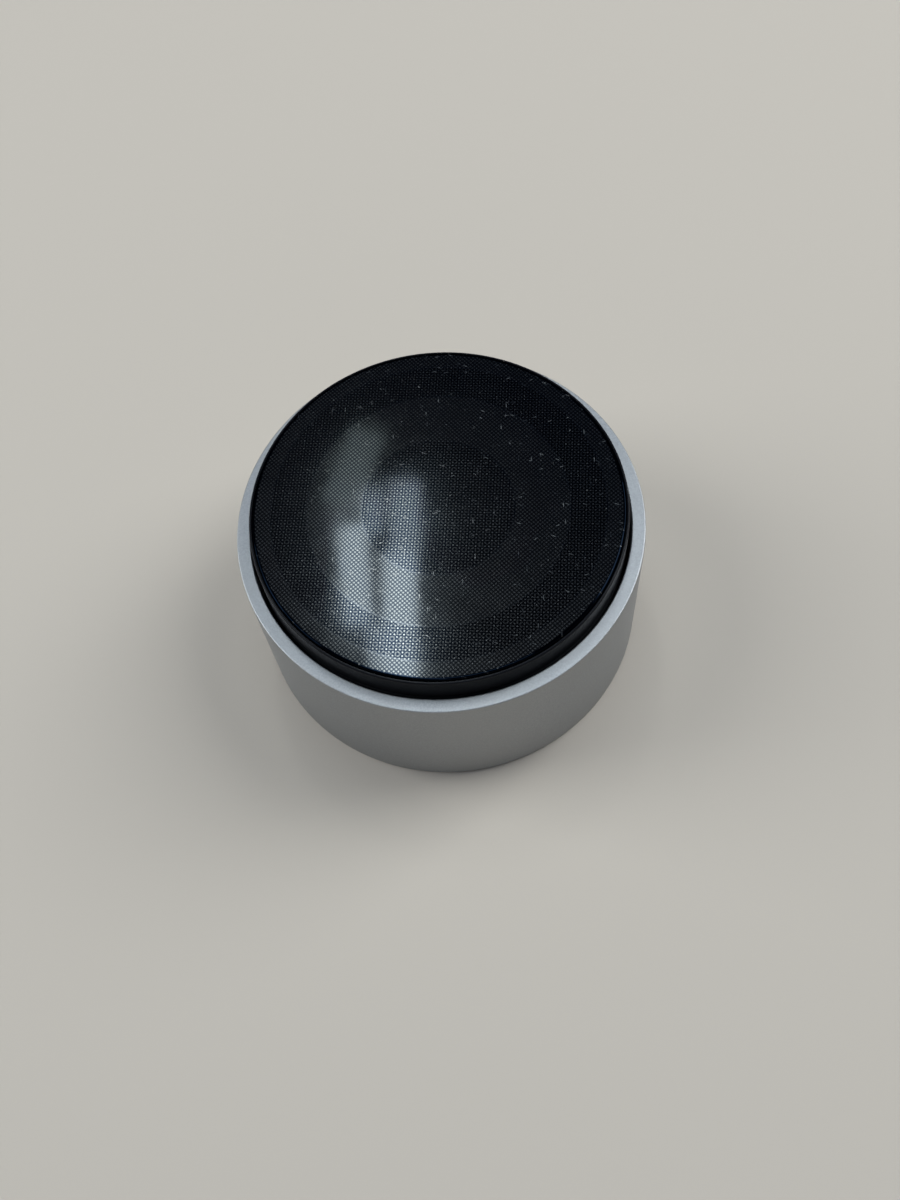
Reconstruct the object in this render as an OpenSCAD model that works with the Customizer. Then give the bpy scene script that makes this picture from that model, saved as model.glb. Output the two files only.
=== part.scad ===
// Desk dial controller, lying on its dial with the grip pad up.
// Sizes are in millimetres. The frame's origin is the centre of the dial's flat face, and +Z points to the pad.

/* [Dial] */
// Thickness of the dial's flat face
dial_floor = 1.8; // [1.4:0.1:3]
// Thickness of the dial's wall
dial_wall = 2; // [1.2:0.1:2.6]
// Rounding of the edge round the flat face
dial_edge = 0.7; // [0.3:0.1:1.1]
// Rounding of the two edges of the rim
rim_edge = 0.2; // [0.1:0.05:0.4]
// Rounding inside, where the wall meets the flat face
dial_fillet = 1.2; // [0.6:0.1:2]
// Gap between the dial's wall and the base
base_gap = 0.5; // [0.4:0.1:2]
// How far the pad stands out beyond the rim
base_rise = 4.2; // [3:0.1:5]

/* [Lid and pad] */
// Thickness of the grip pad
pad_t = 1.25; // [0.8:0.05:2]
// Rounding of the pad's top edge
pad_edge = 0.3; // [0.1:0.05:0.5]
// Groove between the pad and the lid's lip
pad_groove = 0.15; // [0.08:0.01:0.3]
// Thickness of the electrode film under the pad
film_t = 0.15; // [0.1:0.05:0.4]
// How far the lip lies below the pad's top
lip_drop = 0.3; // [0.1:0.05:0.6]
// Width of the lip
lip_w = 0.35; // [0.25:0.05:0.6]
// Rounding of the lip's outer edge
lip_edge = 0.25; // [0.1:0.05:0.25]
// Thickness of the lid's plate
cover_plate = 1.6; // [1.2:0.1:2.4]
// Depth of the lid's skirt
skirt_depth = 1.8; // [1.4:0.1:2.4]
// Thickness of the lid's skirt
skirt_wall = 1.2; // [0.7:0.1:1.5]
// Diameter of the lid's magnets
magnet_d = 4; // [3:0.1:4.6]
// Thickness of the lid's magnets
magnet_t = 1.2; // [0.8:0.1:1.4]
// Wall round each magnet
magnet_wall = 0.7; // [0.5:0.1:1]
// Gap between the magnets and the steel discs below them
magnet_gap = 0.4; // [0.2:0.1:0.8]
// Thickness of the steel discs
striker_t = 0.8; // [0.5:0.1:0.9]

/* [Cells] */
// Diameter of a cell
cell_d = 10.5; // [9.5:0.1:12]
// Length of a cell with its terminal
cell_len = 44.5; // [42:0.1:48]
// Diameter of the raised terminal
nub_d = 3.8; // [3:0.1:5]
// Height of the raised terminal
nub_h = 0.9; // [0.6:0.1:1.4]
// Gap between the two cells
cell_gap = 0.1; // [0.1:0.05:1]

/* [Cell contacts] */
// Thickness of the contact sheet
contact_t = 0.3; // [0.2:0.05:0.5]
// Width of one contact
contact_w = 6.2; // [4.5:0.1:7]
// Width of the soldered tails
tail_w = 1.6; // [1:0.1:2.4]
// Length of the pressed contact spring
cell_spring_len = 1.3; // [1.2:0.05:2]
// Wire of the contact spring
cell_wire = 0.4; // [0.3:0.05:0.45]
// Largest radius of the contact spring
cell_spring_r = 2.8; // [2.5:0.1:3]
// Turns of the contact spring
cell_turns = 2.25; // [1.75:0.25:2.5]

/* [Chassis] */
// Wall of the spigot that the lid goes over
spigot_wall = 0.9; // [0.7:0.1:1.5]
// Floor of the battery bay
bay_floor = 1; // [0.8:0.1:1.6]
// Side walls of the battery bay
bay_wall = 1; // [0.8:0.1:1.6]
// Thickness of the two decks beside the cells
deck_t = 1.2; // [1:0.1:2]
// How far the decks lie below the lid's seam
deck_drop = 1; // [0.6:0.1:1.6]
// How far the chassis reaches below the board
chassis_reach = 1.4; // [1:0.1:3]
// Radius of the screw bosses
boss_r = 1.8; // [1.5:0.1:2.2]
// Depth of the polarity marks
mark_depth = 0.3; // [0.2:0.05:0.5]

/* [Board] */
// Thickness of the board
board_t = 1; // [0.8:0.1:1.6]
// Room between the board and the bay floor
board_gap = 0.2; // [0.2:0.1:0.8]
// Width of the press switch
switch_w = 4.6; // [4:0.1:6]
// Height of the press switch
switch_h = 1.35; // [1.2:0.05:2]
// Radius of the plunger that enters the press switch
plunger_r = 1; // [0.8:0.05:1.4]
// How deep the plunger sits in the end of the stem
plunger_in = 1.2; // [0.8:0.1:2]
// Height of the pairing switch
pair_switch_h = 1.6; // [1.4:0.1:2.4]
// Travel of the pairing button
pair_travel = 0.35; // [0.2:0.05:0.5]
// Radius of the pairing button
pair_r = 1.8; // [1.4:0.1:2.4]
// How far the pairing button stands out of the deck
pair_proud = 0.6; // [0.5:0.1:1]
// Radius of the light pipe
pipe_r = 0.9; // [0.6:0.1:1.2]
// Height of the status light
led_h = 0.6; // [0.4:0.1:1]
// Height of the radio's shield can
shield_h = 1.8; // [1.5:0.1:2.6]
// Thickness of the chips
chip_t = 0.9; // [0.6:0.1:1.2]

/* [Haptic motor] */
// Radius of the haptic motor
haptic_r = 5; // [4:0.1:5.6]
// Height of the haptic motor
haptic_h = 3.4; // [3:0.1:4.4]
// Wall of the haptic motor's case
haptic_wall = 0.3; // [0.2:0.05:0.45]
// Height of the moving weight
weight_h = 1.4; // [1:0.1:1.6]
// Travel of the weight each way
weight_travel = 0.25; // [0.1:0.05:0.4]

/* [Press mechanism] */
// Travel of the dial when it is pressed
press_travel = 0.5; // [0.3:0.05:0.8]
// Radius of the spindle's stem
stem_r = 4; // [3:0.1:5]
// Wall of the guide sleeve
sleeve_wall = 1.5; // [1.2:0.1:2]
// Height of the two keys on the stem
key_h = 0.7; // [0.4:0.1:0.9]
// Width of the two keys on the stem
key_w = 1.6; // [1:0.1:2.4]
// Thickness of the guide plate
plate_t = 1.2; // [1:0.1:2]
// Wire of the return spring
spring_wire = 0.7; // [0.5:0.05:0.8]
// Turns of the return spring
spring_turns = 3.5; // [2:0.5:3.5]
// Thickness of the spindle's floor
flange_t = 1.3; // [1:0.1:2]
// Thickness of the spindle's wall
spindle_wall = 1.6; // [1.2:0.1:2.4]
// Thickness of the two clips
clip_t = 0.6; // [0.4:0.05:0.9]

/* [Bearing] */
// Width of the bearing
bearing_w = 4; // [3:0.1:5]
// Radial height of the bearing from bore to outside
bearing_section = 3.5; // [3.2:0.1:4.5]
// Diameter of the balls
ball_d = 2; // [1.7:0.05:2.2]
// Number of balls
ball_count = 16; // [10:1:22]
// Wall of the pocket that holds the bearing
pocket_wall = 1.8; // [1.2:0.1:2.5]

/* [Encoder] */
// Number of slots in the code ring
slot_count = 48; // [24:1:60]
// Thickness of the code ring
code_wall = 0.8; // [0.6:0.05:1.2]
// Depth of the slots
slot_depth = 2.4; // [1.6:0.1:3]
// Thickness of the two legs of the sensor
sensor_leg = 1.2; // [0.8:0.1:1.8]
// Width of the sensor
sensor_w = 5; // [4:0.1:7]
// Gap between the sensor and the code ring
sensor_air = 0.5; // [0.4:0.05:1]

/* [Screws] */
// Radius of the board screws
screw_r = 0.9; // [0.7:0.05:1.1]
// Radius of the board screws' heads
screw_head_r = 1.7; // [1.4:0.05:2]
// Height of the screw heads
screw_head_h = 0.9; // [0.6:0.05:1.2]
// Radius of the hub screws
hub_screw_r = 0.8; // [0.6:0.05:1]
// Radius of the hub screws' heads
hub_head_r = 1.5; // [1.2:0.05:1.8]

/* [Hidden] */
$fn = 96;
// fits: pressed or glued, seated, sliding, turning
press_fit = 0.02;
seat = 0.05;
slide_fit = 0.05;
room = 0.3;
ball_fit = 0.03;
overlap = 0.1;
arc_steps = 6;

// cells and battery bay
cell_r = cell_d / 2;
cell_y = (cell_d + cell_gap) / 2;
cell_room = 0.1;
half_span = (cell_len + cell_spring_len) / 2;
bay_half = half_span + contact_t + seat;
bay_half_w = cell_y + cell_r + cell_room;
bay_out = bay_half_w + bay_wall;
contact_y = cell_y + contact_w / 2;

// press mechanism and bearing, from the stem outwards
bore_r = stem_r + slide_fit;
sleeve_r = bore_r + sleeve_wall;
spring_r = sleeve_r + room + spring_wire / 2;
spring_room = 1.85;
race_in_r = spring_r + spring_wire / 2 + spring_room + spindle_wall;
race_out_r = race_in_r + bearing_section;
pitch_r = race_in_r + bearing_section / 2;
ball_r = ball_d / 2;
land = 0.7;
cage_half = land - 0.25;
seat_r = race_in_r - press_fit;
spindle_in_r = seat_r - spindle_wall;
flange_r = pitch_r - land - 0.2;
pocket_r = race_out_r + press_fit;
pocket_out_r = pocket_r + pocket_wall;
hub_hole_r = pitch_r + land;
clip_bite = 0.5;
clip_stand = 0.9;

// legs, sensor, code ring and hub
leg_x = 8;
leg_y = bay_out + boss_r - 0.2;
leg_wall = 1;
leg_hole_r = screw_r + overlap;
leg_r = max(leg_hole_r + leg_wall, screw_head_r + overlap);
plate_r = norm([leg_x, leg_y]) + leg_r;
code_in_r = max(plate_r + 0.5 + sensor_leg + sensor_air, pocket_out_r + 2 * hub_head_r + 4 * room);
code_out_r = code_in_r + code_wall;
sensor_in_r = code_in_r - sensor_air - sensor_leg;
sensor_out_r = code_out_r + sensor_air + sensor_leg;
hub_rim = 1.2;
hub_r = code_out_r + hub_rim;
hub_screw_ring = (pocket_out_r + code_in_r) / 2;
hub_boss_r = hub_screw_r + 1.2;

// chassis, lid, pad and dial
can_end = half_span - nub_h;
chassis_in_r = max(
    norm([bay_half, contact_y]),
    norm([can_end, cell_y + cell_r]),
    sensor_out_r + 2 * room,
    bay_out + 2 * haptic_r + 4 * room
) + cell_room;
spigot_r = chassis_in_r + spigot_wall;
lid_fit = 0.1;
skirt_in_r = spigot_r + lid_fit;
base_r = skirt_in_r + skirt_wall;
recess_r = base_r - lip_w;
pad_r = recess_r - pad_groove;
dial_in_r = base_r + base_gap;
dial_r = dial_in_r + dial_wall;
board_r = chassis_in_r - room;
magnet_r = magnet_d / 2;
magnet_boss_r = magnet_r + magnet_wall;
magnet_place = (chassis_in_r - magnet_boss_r - 3 * room) * cos(45);
striker_r = magnet_r + 0.2;
deck_y = (bay_out + chassis_in_r) / 2;

// heights, from the dial's face upwards
flange_z = dial_floor + 0.7;
race_z = flange_z + flange_t;
race_top_z = race_z + bearing_w;
race_mid_z = race_z + bearing_w / 2;
spindle_top_z = race_top_z + clip_t + 0.4;
stop_room = 0.5;
plate_z = max(spindle_top_z, race_top_z + screw_head_h) + press_travel + stop_room;
plate_top_z = plate_z + plate_t;
sleeve_z = race_z + press_travel + 0.7;
stem_clip_z = plate_top_z + seat;
stem_top_z = stem_clip_z + clip_t + 0.35;
plunger_z = stem_top_z - plunger_in;
switch_z = stem_top_z + press_travel + overlap + seat;
board_z = switch_z + switch_h;
board_top_z = board_z + board_t;
bay_z = board_top_z + board_gap;
cell_floor_z = bay_z + bay_floor;
cell_z = cell_floor_z + seat + cell_r;
cell_top_z = cell_z + cell_r;
cover_z = cell_top_z + 0.25;
cover_top_z = cover_z + cover_plate;
pad_z = cover_top_z + film_t;
top_z = pad_z + pad_t;
lip_z = top_z - lip_drop;
rim_z = top_z - base_rise;
seam_z = cover_z - skirt_depth;
deck_z = seam_z - deck_drop;
deck_low_z = deck_z - deck_t;
chassis_z = board_z - chassis_reach;
magnet_z = deck_z + magnet_gap;
sensor_base = 1.2;
code_top_z = board_z - sensor_base - room - press_travel;
code_groove = 0.6;
code_z = race_z - code_groove + seat;
sensor_z = code_top_z - slot_depth - 1;

// board, buttons and haptic motor
pair_x = 4;
pair_w = 4.5;
pair_top_z = board_top_z + pair_switch_h;
pair_tip_r = 0.8;
pair_tip_in = 0.2;
pair_stem_r = 1.1;
pair_flange_r = pair_r + 0.7;
pair_flange_t = 0.8;
pair_flange_z = deck_low_z - seat - pair_flange_t;
pipe_x = -1;
pipe_flange = 0.5;
shield_x = -7;
shield_l = 7;
shield_w = 5.5;
shield_t = 0.2;
chip_l = 4.5;
chip_w = 3.5;
chip_y = -10;
controller_w = 5;
boss_hole = 4.5;
tail_hole = 0.2;
tail_end = 0.4;
mark_l = 2;
mark_w = 0.5;
contact_face = bay_half - seat - contact_t;
weight_r = haptic_r - haptic_wall - room;
weight_z = board_top_z + weight_travel + room;
weight_top_z = weight_z + weight_h;
haptic_in_z = max(board_top_z + haptic_h - haptic_wall, weight_top_z + weight_travel + 2 * room);

// return spring and contact springs
spring_rings = 16;
tube_sides = 6;
spring_low_z = race_z + press_fit;
spring_high_z = plate_z - press_fit;
cell_tip = cell_spring_len + seat - press_fit - cell_wire / 2;
cell_spring_tip_r = 0.8;
contact_top_z = cell_z + cell_spring_r + cell_wire;

// points of an arc about (x, y)
function arc(x, y, r, from, to) = [
    for (i = [0:arc_steps])
        let (a = from + (to - from) * i / arc_steps)
        [x + r * cos(a), y + r * sin(a)]
];

// centre line of a coil about Z that starts and ends with a straight stretch along Z
function coil(r0, r1, low, high, start, end, turns) = concat(
    [[r0, 0, low]],
    [
        for (i = [0:round(turns * spring_rings)])
            let (t = i / round(turns * spring_rings))
            let (a = 360 * turns * t)
            let (r = r0 + (r1 - r0) * t)
            [r * cos(a), r * sin(a), low + start + (high - low - start - end) * t]
    ],
    end > 0 ? [[r1 * cos(360 * turns), r1 * sin(360 * turns), high]] : []
);

function unit(v) = v / norm(v);

// direction of a centre line at one of its points
function along(path, i) = unit(path[min(i + 1, len(path) - 1)] - path[max(i - 1, 0)]);

// one ring of points round a centre line
function ring(path, i, r) =
    let (t = along(path, i))
    let (out = unit([path[i][0], path[i][1], 0]))
    let (n = unit(out - (out * t) * t))
    let (b = cross(t, n))
    [for (k = [0:tube_sides - 1]) path[i] + r * (cos(360 * k / tube_sides) * n + sin(360 * k / tube_sides) * b)];

// least gap between the turns of a coil
function coil_gap(path, wire) = min([
    for (i = [0:len(path) - 1])
        for (j = [i + floor(spring_rings * 0.6):1:len(path) - 1])
            norm(path[i] - path[j])
]) - wire;

// place of one of the four board screws
function leg_at(i) = [(i % 2 == 0 ? 1 : -1) * leg_x, (i < 2 ? 1 : -1) * leg_y, 0];

// place of one of the four magnets
function magnet_at(i) = [(i % 2 == 0 ? 1 : -1) * magnet_place, (i < 2 ? 1 : -1) * magnet_place, 0];

press_path = coil(spring_r, spring_r, spring_low_z, spring_high_z, spring_wire, spring_wire, spring_turns);
cell_path = coil(cell_spring_r, cell_spring_tip_r, -overlap, cell_tip, cell_wire + overlap, 0, cell_turns);
echo(dial_diameter = 2 * dial_r, total_height = top_z, rim_height = rim_z, base_diameter = 2 * base_r);
echo(press_spring_gap = coil_gap(press_path, spring_wire), cell_spring_gap = coil_gap(cell_path, cell_wire));

// tube along a centre line
module tube(path, r) {
    last = len(path) - 1;
    points = [for (i = [0:last]) each ring(path, i, r)];
    sides = [
        for (i = [0:last - 1])
            for (k = [0:tube_sides - 1])
                let (a = i * tube_sides + k)
                let (b = i * tube_sides + (k + 1) % tube_sides)
                each [[a, b + tube_sides, b], [a, a + tube_sides, b + tube_sides]]
    ];
    low = [for (k = [1:tube_sides - 2]) [0, k, k + 1]];
    high = [for (k = [1:tube_sides - 2]) [last * tube_sides, last * tube_sides + k + 1, last * tube_sides + k]];
    polyhedron(points = points, faces = concat(sides, low, high));
}

// upright cylinder between two heights
module rod(r, low, high) {
    translate([0, 0, low]) cylinder(r = r, h = high - low);
}

// upright pipe between two heights
module pipe(r_in, r_out, low, high) {
    difference() {
        rod(r_out, low, high);
        rod(r_in, low - 1, high + 1);
    }
}

// box centred in X and Y between two heights
module block(x, y, low, high) {
    translate([-x / 2, -y / 2, low]) cube([x, y, high - low]);
}

// places of the hub screws
module at_hub_screws() {
    for (i = [0:2]) {
        rotate([0, 0, 120 * i + 60]) translate([hub_screw_ring, 0, 0]) children();
    }
}

// places of the board screws
module at_legs() {
    for (i = [0:3]) {
        translate(leg_at(i)) children();
    }
}

// places of the magnets
module at_magnets() {
    for (i = [0:3]) {
        translate(magnet_at(i)) children();
    }
}

hub_boss_h = flange_t * 0.85;
hub_screw_low = dial_floor - 0.5;

module dial_shell() {
    color("#c3c7cd") difference() {
        union() {
            rotate_extrude() polygon(concat(
                [[0, 0]],
                arc(dial_r - dial_edge, dial_edge, dial_edge, -90, 0),
                arc(dial_r - rim_edge, rim_z - rim_edge, rim_edge, 0, 90),
                arc(dial_in_r + rim_edge, rim_z - rim_edge, rim_edge, 90, 180),
                arc(dial_in_r - dial_fillet, dial_floor + dial_fillet, dial_fillet, 0, -90),
                [[0, dial_floor]]
            ));
            at_hub_screws() rod(hub_boss_r, dial_floor - overlap, dial_floor + hub_boss_h);
        }
        at_hub_screws() rod(hub_screw_r + press_fit, hub_screw_low - overlap, dial_floor + hub_boss_h + 1);
    }
}

module dial_hub() {
    color("#2b2c30") difference() {
        rotate_extrude() polygon([
            [hub_hole_r, dial_floor],
            [hub_r, dial_floor],
            [hub_r, race_z],
            [code_out_r + press_fit, race_z],
            [code_out_r + press_fit, race_z - code_groove],
            [code_in_r - press_fit, race_z - code_groove],
            [code_in_r - press_fit, race_z],
            [pocket_out_r, race_z],
            [pocket_out_r, race_top_z],
            [pocket_r, race_top_z],
            [pocket_r, race_z],
            [hub_hole_r, race_z]
        ]);
        at_hub_screws() rod(hub_boss_r + seat, dial_floor - 1, dial_floor + hub_boss_h + seat);
        at_hub_screws() rod(hub_screw_r + overlap, dial_floor, race_z + 1);
    }
}

module hub_screws() {
    color("#8d9096") at_hub_screws() difference() {
        union() {
            rod(hub_head_r, race_z, race_z + screw_head_h);
            rod(hub_screw_r, hub_screw_low, race_z + overlap);
        }
        translate([0, 0, race_z + screw_head_h / 2]) cylinder(r = hub_screw_r * 0.8, h = screw_head_h, $fn = 6);
    }
}

module code_ring() {
    slot_w = PI * code_in_r / slot_count;
    color("#1d1e21") difference() {
        pipe(code_in_r, code_out_r, code_z, code_top_z);
        for (i = [0:slot_count - 1]) {
            rotate([0, 0, 360 * i / slot_count])
                translate([code_in_r + code_wall / 2, 0, 0])
                block(code_wall * 3, slot_w, code_top_z - slot_depth, code_top_z + 1);
        }
    }
}

module raceway() {
    rotate_extrude() translate([pitch_r, race_mid_z]) circle(r = ball_r + ball_fit);
}

module outer_race() {
    color("#aeb3ba") difference() {
        pipe(pitch_r + land, race_out_r, race_z, race_top_z);
        raceway();
    }
}

module inner_race() {
    color("#aeb3ba") difference() {
        pipe(race_in_r, pitch_r - land, race_z, race_top_z);
        raceway();
    }
}

module at_balls() {
    for (i = [0:ball_count - 1]) {
        rotate([0, 0, 360 * i / ball_count]) translate([pitch_r, 0, race_mid_z]) children();
    }
}

module bearing_balls() {
    color("#d4d8dd") at_balls() sphere(r = ball_r);
}

module bearing_cage() {
    cage_h = ball_d * 1.4;
    color("#c9a24f") difference() {
        pipe(pitch_r - cage_half, pitch_r + cage_half, race_mid_z - cage_h / 2, race_mid_z + cage_h / 2);
        at_balls() sphere(r = ball_r + ball_fit);
    }
}

module spindle() {
    color("#9aa0a8") union() {
        rotate_extrude() polygon([
            [0, flange_z],
            [flange_r, flange_z],
            [flange_r, race_z],
            [seat_r, race_z],
            [seat_r, race_top_z],
            [seat_r - clip_bite, race_top_z],
            [seat_r - clip_bite, race_top_z + clip_t],
            [seat_r, race_top_z + clip_t],
            [seat_r, spindle_top_z],
            [spindle_in_r, spindle_top_z],
            [spindle_in_r, race_z],
            [stem_r, race_z],
            [stem_r, stem_clip_z],
            [stem_r - clip_bite, stem_clip_z],
            [stem_r - clip_bite, stem_clip_z + clip_t],
            [stem_r, stem_clip_z + clip_t],
            [stem_r, stem_top_z],
            [plunger_r + press_fit, stem_top_z],
            [plunger_r + press_fit, plunger_z - press_fit],
            [0, plunger_z - press_fit]
        ]);
        for (side = [-1, 1]) {
            translate([side * (stem_r + (key_h - 1) / 2), 0, 0]) block(key_h + 1, key_w, race_z - overlap, plate_z);
        }
    }
}

// open clip in a groove of radius r
module clip(r, low) {
    difference() {
        pipe(r - clip_bite + press_fit, r + clip_stand, low + press_fit, low + clip_t - press_fit);
        translate([0, -r, 0]) block(r * 0.5, 2 * r, low - 1, low + clip_t + 1);
    }
}

module race_clip() {
    color("#6f747b") clip(seat_r, race_top_z);
}

module stem_clip() {
    color("#6f747b") clip(stem_r, stem_clip_z);
}

module press_spring() {
    color("#b9bec4") tube(press_path, spring_wire / 2);
}

module guide_plate() {
    keyway_w = key_w + 2 * overlap;
    keyway_r = stem_r + key_h + overlap;
    color("#26272b") difference() {
        union() {
            rod(plate_r, plate_z, plate_top_z);
            rod(sleeve_r, sleeve_z, plate_z + overlap);
            at_legs() rod(leg_r, plate_top_z - overlap, board_z);
        }
        rod(bore_r, sleeve_z - 1, plate_top_z + 1);
        block(2 * keyway_r, keyway_w, sleeve_z - 1, plate_z + press_travel + overlap);
        at_legs() rod(leg_hole_r, plate_z - 1, board_z + 1);
    }
}

module board_screws() {
    color("#8d9096") at_legs() difference() {
        union() {
            rod(screw_head_r, plate_z - screw_head_h, plate_z);
            rod(screw_r, plate_z - overlap, board_top_z + boss_hole - room);
        }
        translate([0, 0, plate_z - screw_head_h * 1.5]) cylinder(r = screw_r * 0.8, h = screw_head_h, $fn = 6);
    }
}

// places of the contact tails, with the contact's outline as child
module at_tails() {
    for (side = [-1, 1]) {
        translate([contact_face + contact_t / 2, side * cell_y, 0]) children();
    }
    translate([-contact_face - contact_t / 2, 0, 0]) children();
}

module main_board() {
    color("#1f5a3c") difference() {
        rod(board_r, board_z, board_top_z);
        at_legs() rod(leg_hole_r, board_z - 1, board_top_z + 1);
        at_tails() block(contact_t + 2 * tail_hole, tail_w + 2 * tail_hole, board_z - 1, board_top_z + 1);
    }
}

module press_switch() {
    color("#3a3c41") difference() {
        block(switch_w, switch_w, switch_z, board_z);
        rod(plunger_r + slide_fit, switch_z - 1, board_z - room);
    }
}

module switch_plunger() {
    color("#d9d5c6") rod(plunger_r, plunger_z, board_z - 2 * room - press_travel);
}

module encoder_sensor() {
    width = sensor_out_r - sensor_in_r;
    gap = code_wall + 2 * sensor_air;
    color("#17181a") translate([(sensor_in_r + sensor_out_r) / 2, 0, 0]) difference() {
        block(width, sensor_w, sensor_z, board_z);
        block(gap, sensor_w + 2, sensor_z - 1, board_z - sensor_base);
    }
}

module controller_chip() {
    color("#202124") translate([0, chip_y, 0]) block(controller_w, controller_w, board_z - chip_t, board_z);
}

module radio_chip() {
    color("#202124") translate([shield_x, deck_y, 0]) block(chip_l, chip_w, board_top_z, board_top_z + chip_t);
}

module radio_shield() {
    color("#b4b8bd") translate([shield_x, deck_y, 0]) difference() {
        block(shield_l, shield_w, board_top_z, board_top_z + shield_h);
        block(shield_l - 2 * shield_t, shield_w - 2 * shield_t, board_top_z - 1, board_top_z + shield_h - shield_t);
    }
}

module status_led() {
    color("#f2efdf") translate([pipe_x, deck_y, 0]) block(1.6, 1, board_top_z, board_top_z + led_h);
}

module light_pipe() {
    color("#e6ebee") translate([pipe_x, deck_y, 0]) {
        rod(pipe_r, board_top_z + led_h + seat, deck_z + seat);
        rod(pipe_r + pipe_flange, deck_low_z - seat - pipe_flange, deck_low_z - seat);
    }
}

module pair_switch() {
    color("#3a3c41") translate([pair_x, deck_y, 0]) difference() {
        block(pair_w, pair_w, board_top_z, pair_top_z);
        rod(pair_tip_r + overlap, pair_top_z - pair_tip_in - pair_travel - room, pair_top_z + 1);
    }
}

module pair_button() {
    color("#d8dadd") translate([pair_x, deck_y, 0]) {
        rod(pair_r, pair_flange_z, deck_z + pair_proud);
        rod(pair_flange_r, pair_flange_z, pair_flange_z + pair_flange_t);
        rod(pair_stem_r, pair_top_z + pair_travel + overlap, pair_flange_z + overlap);
        rod(pair_tip_r, pair_top_z - pair_tip_in, pair_flange_z);
    }
}

module haptic_case() {
    color("#a9adb3") translate([0, -deck_y, 0]) difference() {
        rod(haptic_r, board_top_z, haptic_in_z + haptic_wall);
        rod(haptic_r - haptic_wall, board_top_z - 1, haptic_in_z);
    }
}

module haptic_weight() {
    color("#6a6d72") translate([0, -deck_y, 0]) rod(weight_r, weight_z, weight_top_z);
}

module haptic_spring() {
    color("#c0b48c") translate([0, -deck_y, 0]) rotate_extrude() polygon([
        [weight_r * 0.3, haptic_in_z - press_fit],
        [weight_r * 0.8, weight_top_z + press_fit],
        [weight_r * 0.9, weight_top_z + press_fit],
        [weight_r * 0.4, haptic_in_z - press_fit]
    ]);
}

// sunk polarity mark on a deck
module mark(plus) {
    block(mark_l, mark_w, deck_z - mark_depth, deck_z + 1);
    if (plus) {
        block(mark_w, mark_l, deck_z - mark_depth, deck_z + 1);
    }
}

module chassis() {
    mark_x = bay_half - 3.8;
    mark_y = bay_out + 1.3;
    color("#232428") difference() {
        union() {
            difference() {
                union() {
                    rod(base_r, chassis_z, seam_z);
                    rod(spigot_r, seam_z - overlap, cover_z - seat);
                }
                rod(chassis_in_r, deck_z, cover_z + 1);
                rod(chassis_in_r, chassis_z - 1, bay_z);
                intersection() {
                    rod(chassis_in_r, bay_z - overlap, cover_z + 1);
                    block(2 * bay_half, 2 * bay_half_w, cell_floor_z, cover_z + 1);
                }
                difference() {
                    rod(chassis_in_r, bay_z - overlap, deck_low_z);
                    block(4 * base_r, 2 * bay_out, bay_z - 1, deck_z);
                }
            }
            at_legs() rod(boss_r, board_top_z, deck_low_z + overlap);
        }
        at_legs() rod(screw_r + press_fit, board_top_z - 1, board_top_z + boss_hole);
        at_tails() block(contact_t + 2 * tail_hole, tail_w + 2 * tail_hole, bay_z - 1, cell_floor_z + 1);
        at_magnets() rod(striker_r + press_fit, deck_z - striker_t, deck_z + 1);
        translate([pipe_x, deck_y, 0]) rod(pipe_r + seat, deck_low_z - 1, deck_z + 1);
        translate([pair_x, deck_y, 0]) rod(pair_r + overlap, deck_low_z - 1, deck_z + 1);
        translate([mark_x, mark_y, 0]) mark(true);
        translate([-mark_x, -mark_y, 0]) mark(true);
        translate([-mark_x, mark_y, 0]) mark(false);
        translate([mark_x, -mark_y, 0]) mark(false);
    }
}

// cell along X with its raised terminal towards +X
module cell() {
    end = half_span - press_fit;
    start = end - cell_len;
    edge = 0.4;
    rotate([0, 90, 0]) rotate_extrude() polygon(concat(
        [[0, start]],
        arc(cell_r - edge, start + edge, edge, -90, 0),
        arc(cell_r - edge, end - nub_h - edge, edge, 0, 90),
        [[nub_d / 2, end - nub_h], [nub_d / 2, end], [0, end]]
    ));
}

module battery_a() {
    color("#4f6e8c") translate([0, cell_y, cell_z]) cell();
}

module battery_b() {
    color("#4f6e8c") translate([0, -cell_y, cell_z]) rotate([0, 0, 180]) cell();
}

// upright contact sheet with its soldered tail, against the end of the bay towards +X
module sheet(width) {
    translate([contact_face + contact_t / 2, 0, 0]) {
        block(contact_t, width, cell_floor_z + seat, contact_top_z);
        block(contact_t, tail_w, board_z - tail_end, cell_floor_z + seat + overlap);
    }
}

// contact spring that presses on a cell towards -X
module cell_spring() {
    translate([contact_face, 0, cell_z]) rotate([0, -90, 0]) tube(cell_path, cell_wire / 2);
}

module positive_contact() {
    color("#c8c2ae") translate([0, cell_y, 0]) sheet(contact_w);
}

module negative_contact() {
    color("#c8c2ae") translate([0, -cell_y, 0]) {
        sheet(contact_w);
        cell_spring();
    }
}

module bridge_contact() {
    color("#c8c2ae") rotate([0, 0, 180]) {
        sheet(2 * contact_y);
        translate([0, -cell_y, 0]) cell_spring();
    }
}

module striker_discs() {
    color("#9b9fa5") at_magnets() rod(striker_r, deck_z - striker_t, deck_z);
}

module cover_magnets() {
    color("#b9bcc0") at_magnets() rod(magnet_r, magnet_z, magnet_z + magnet_t);
}

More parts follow.
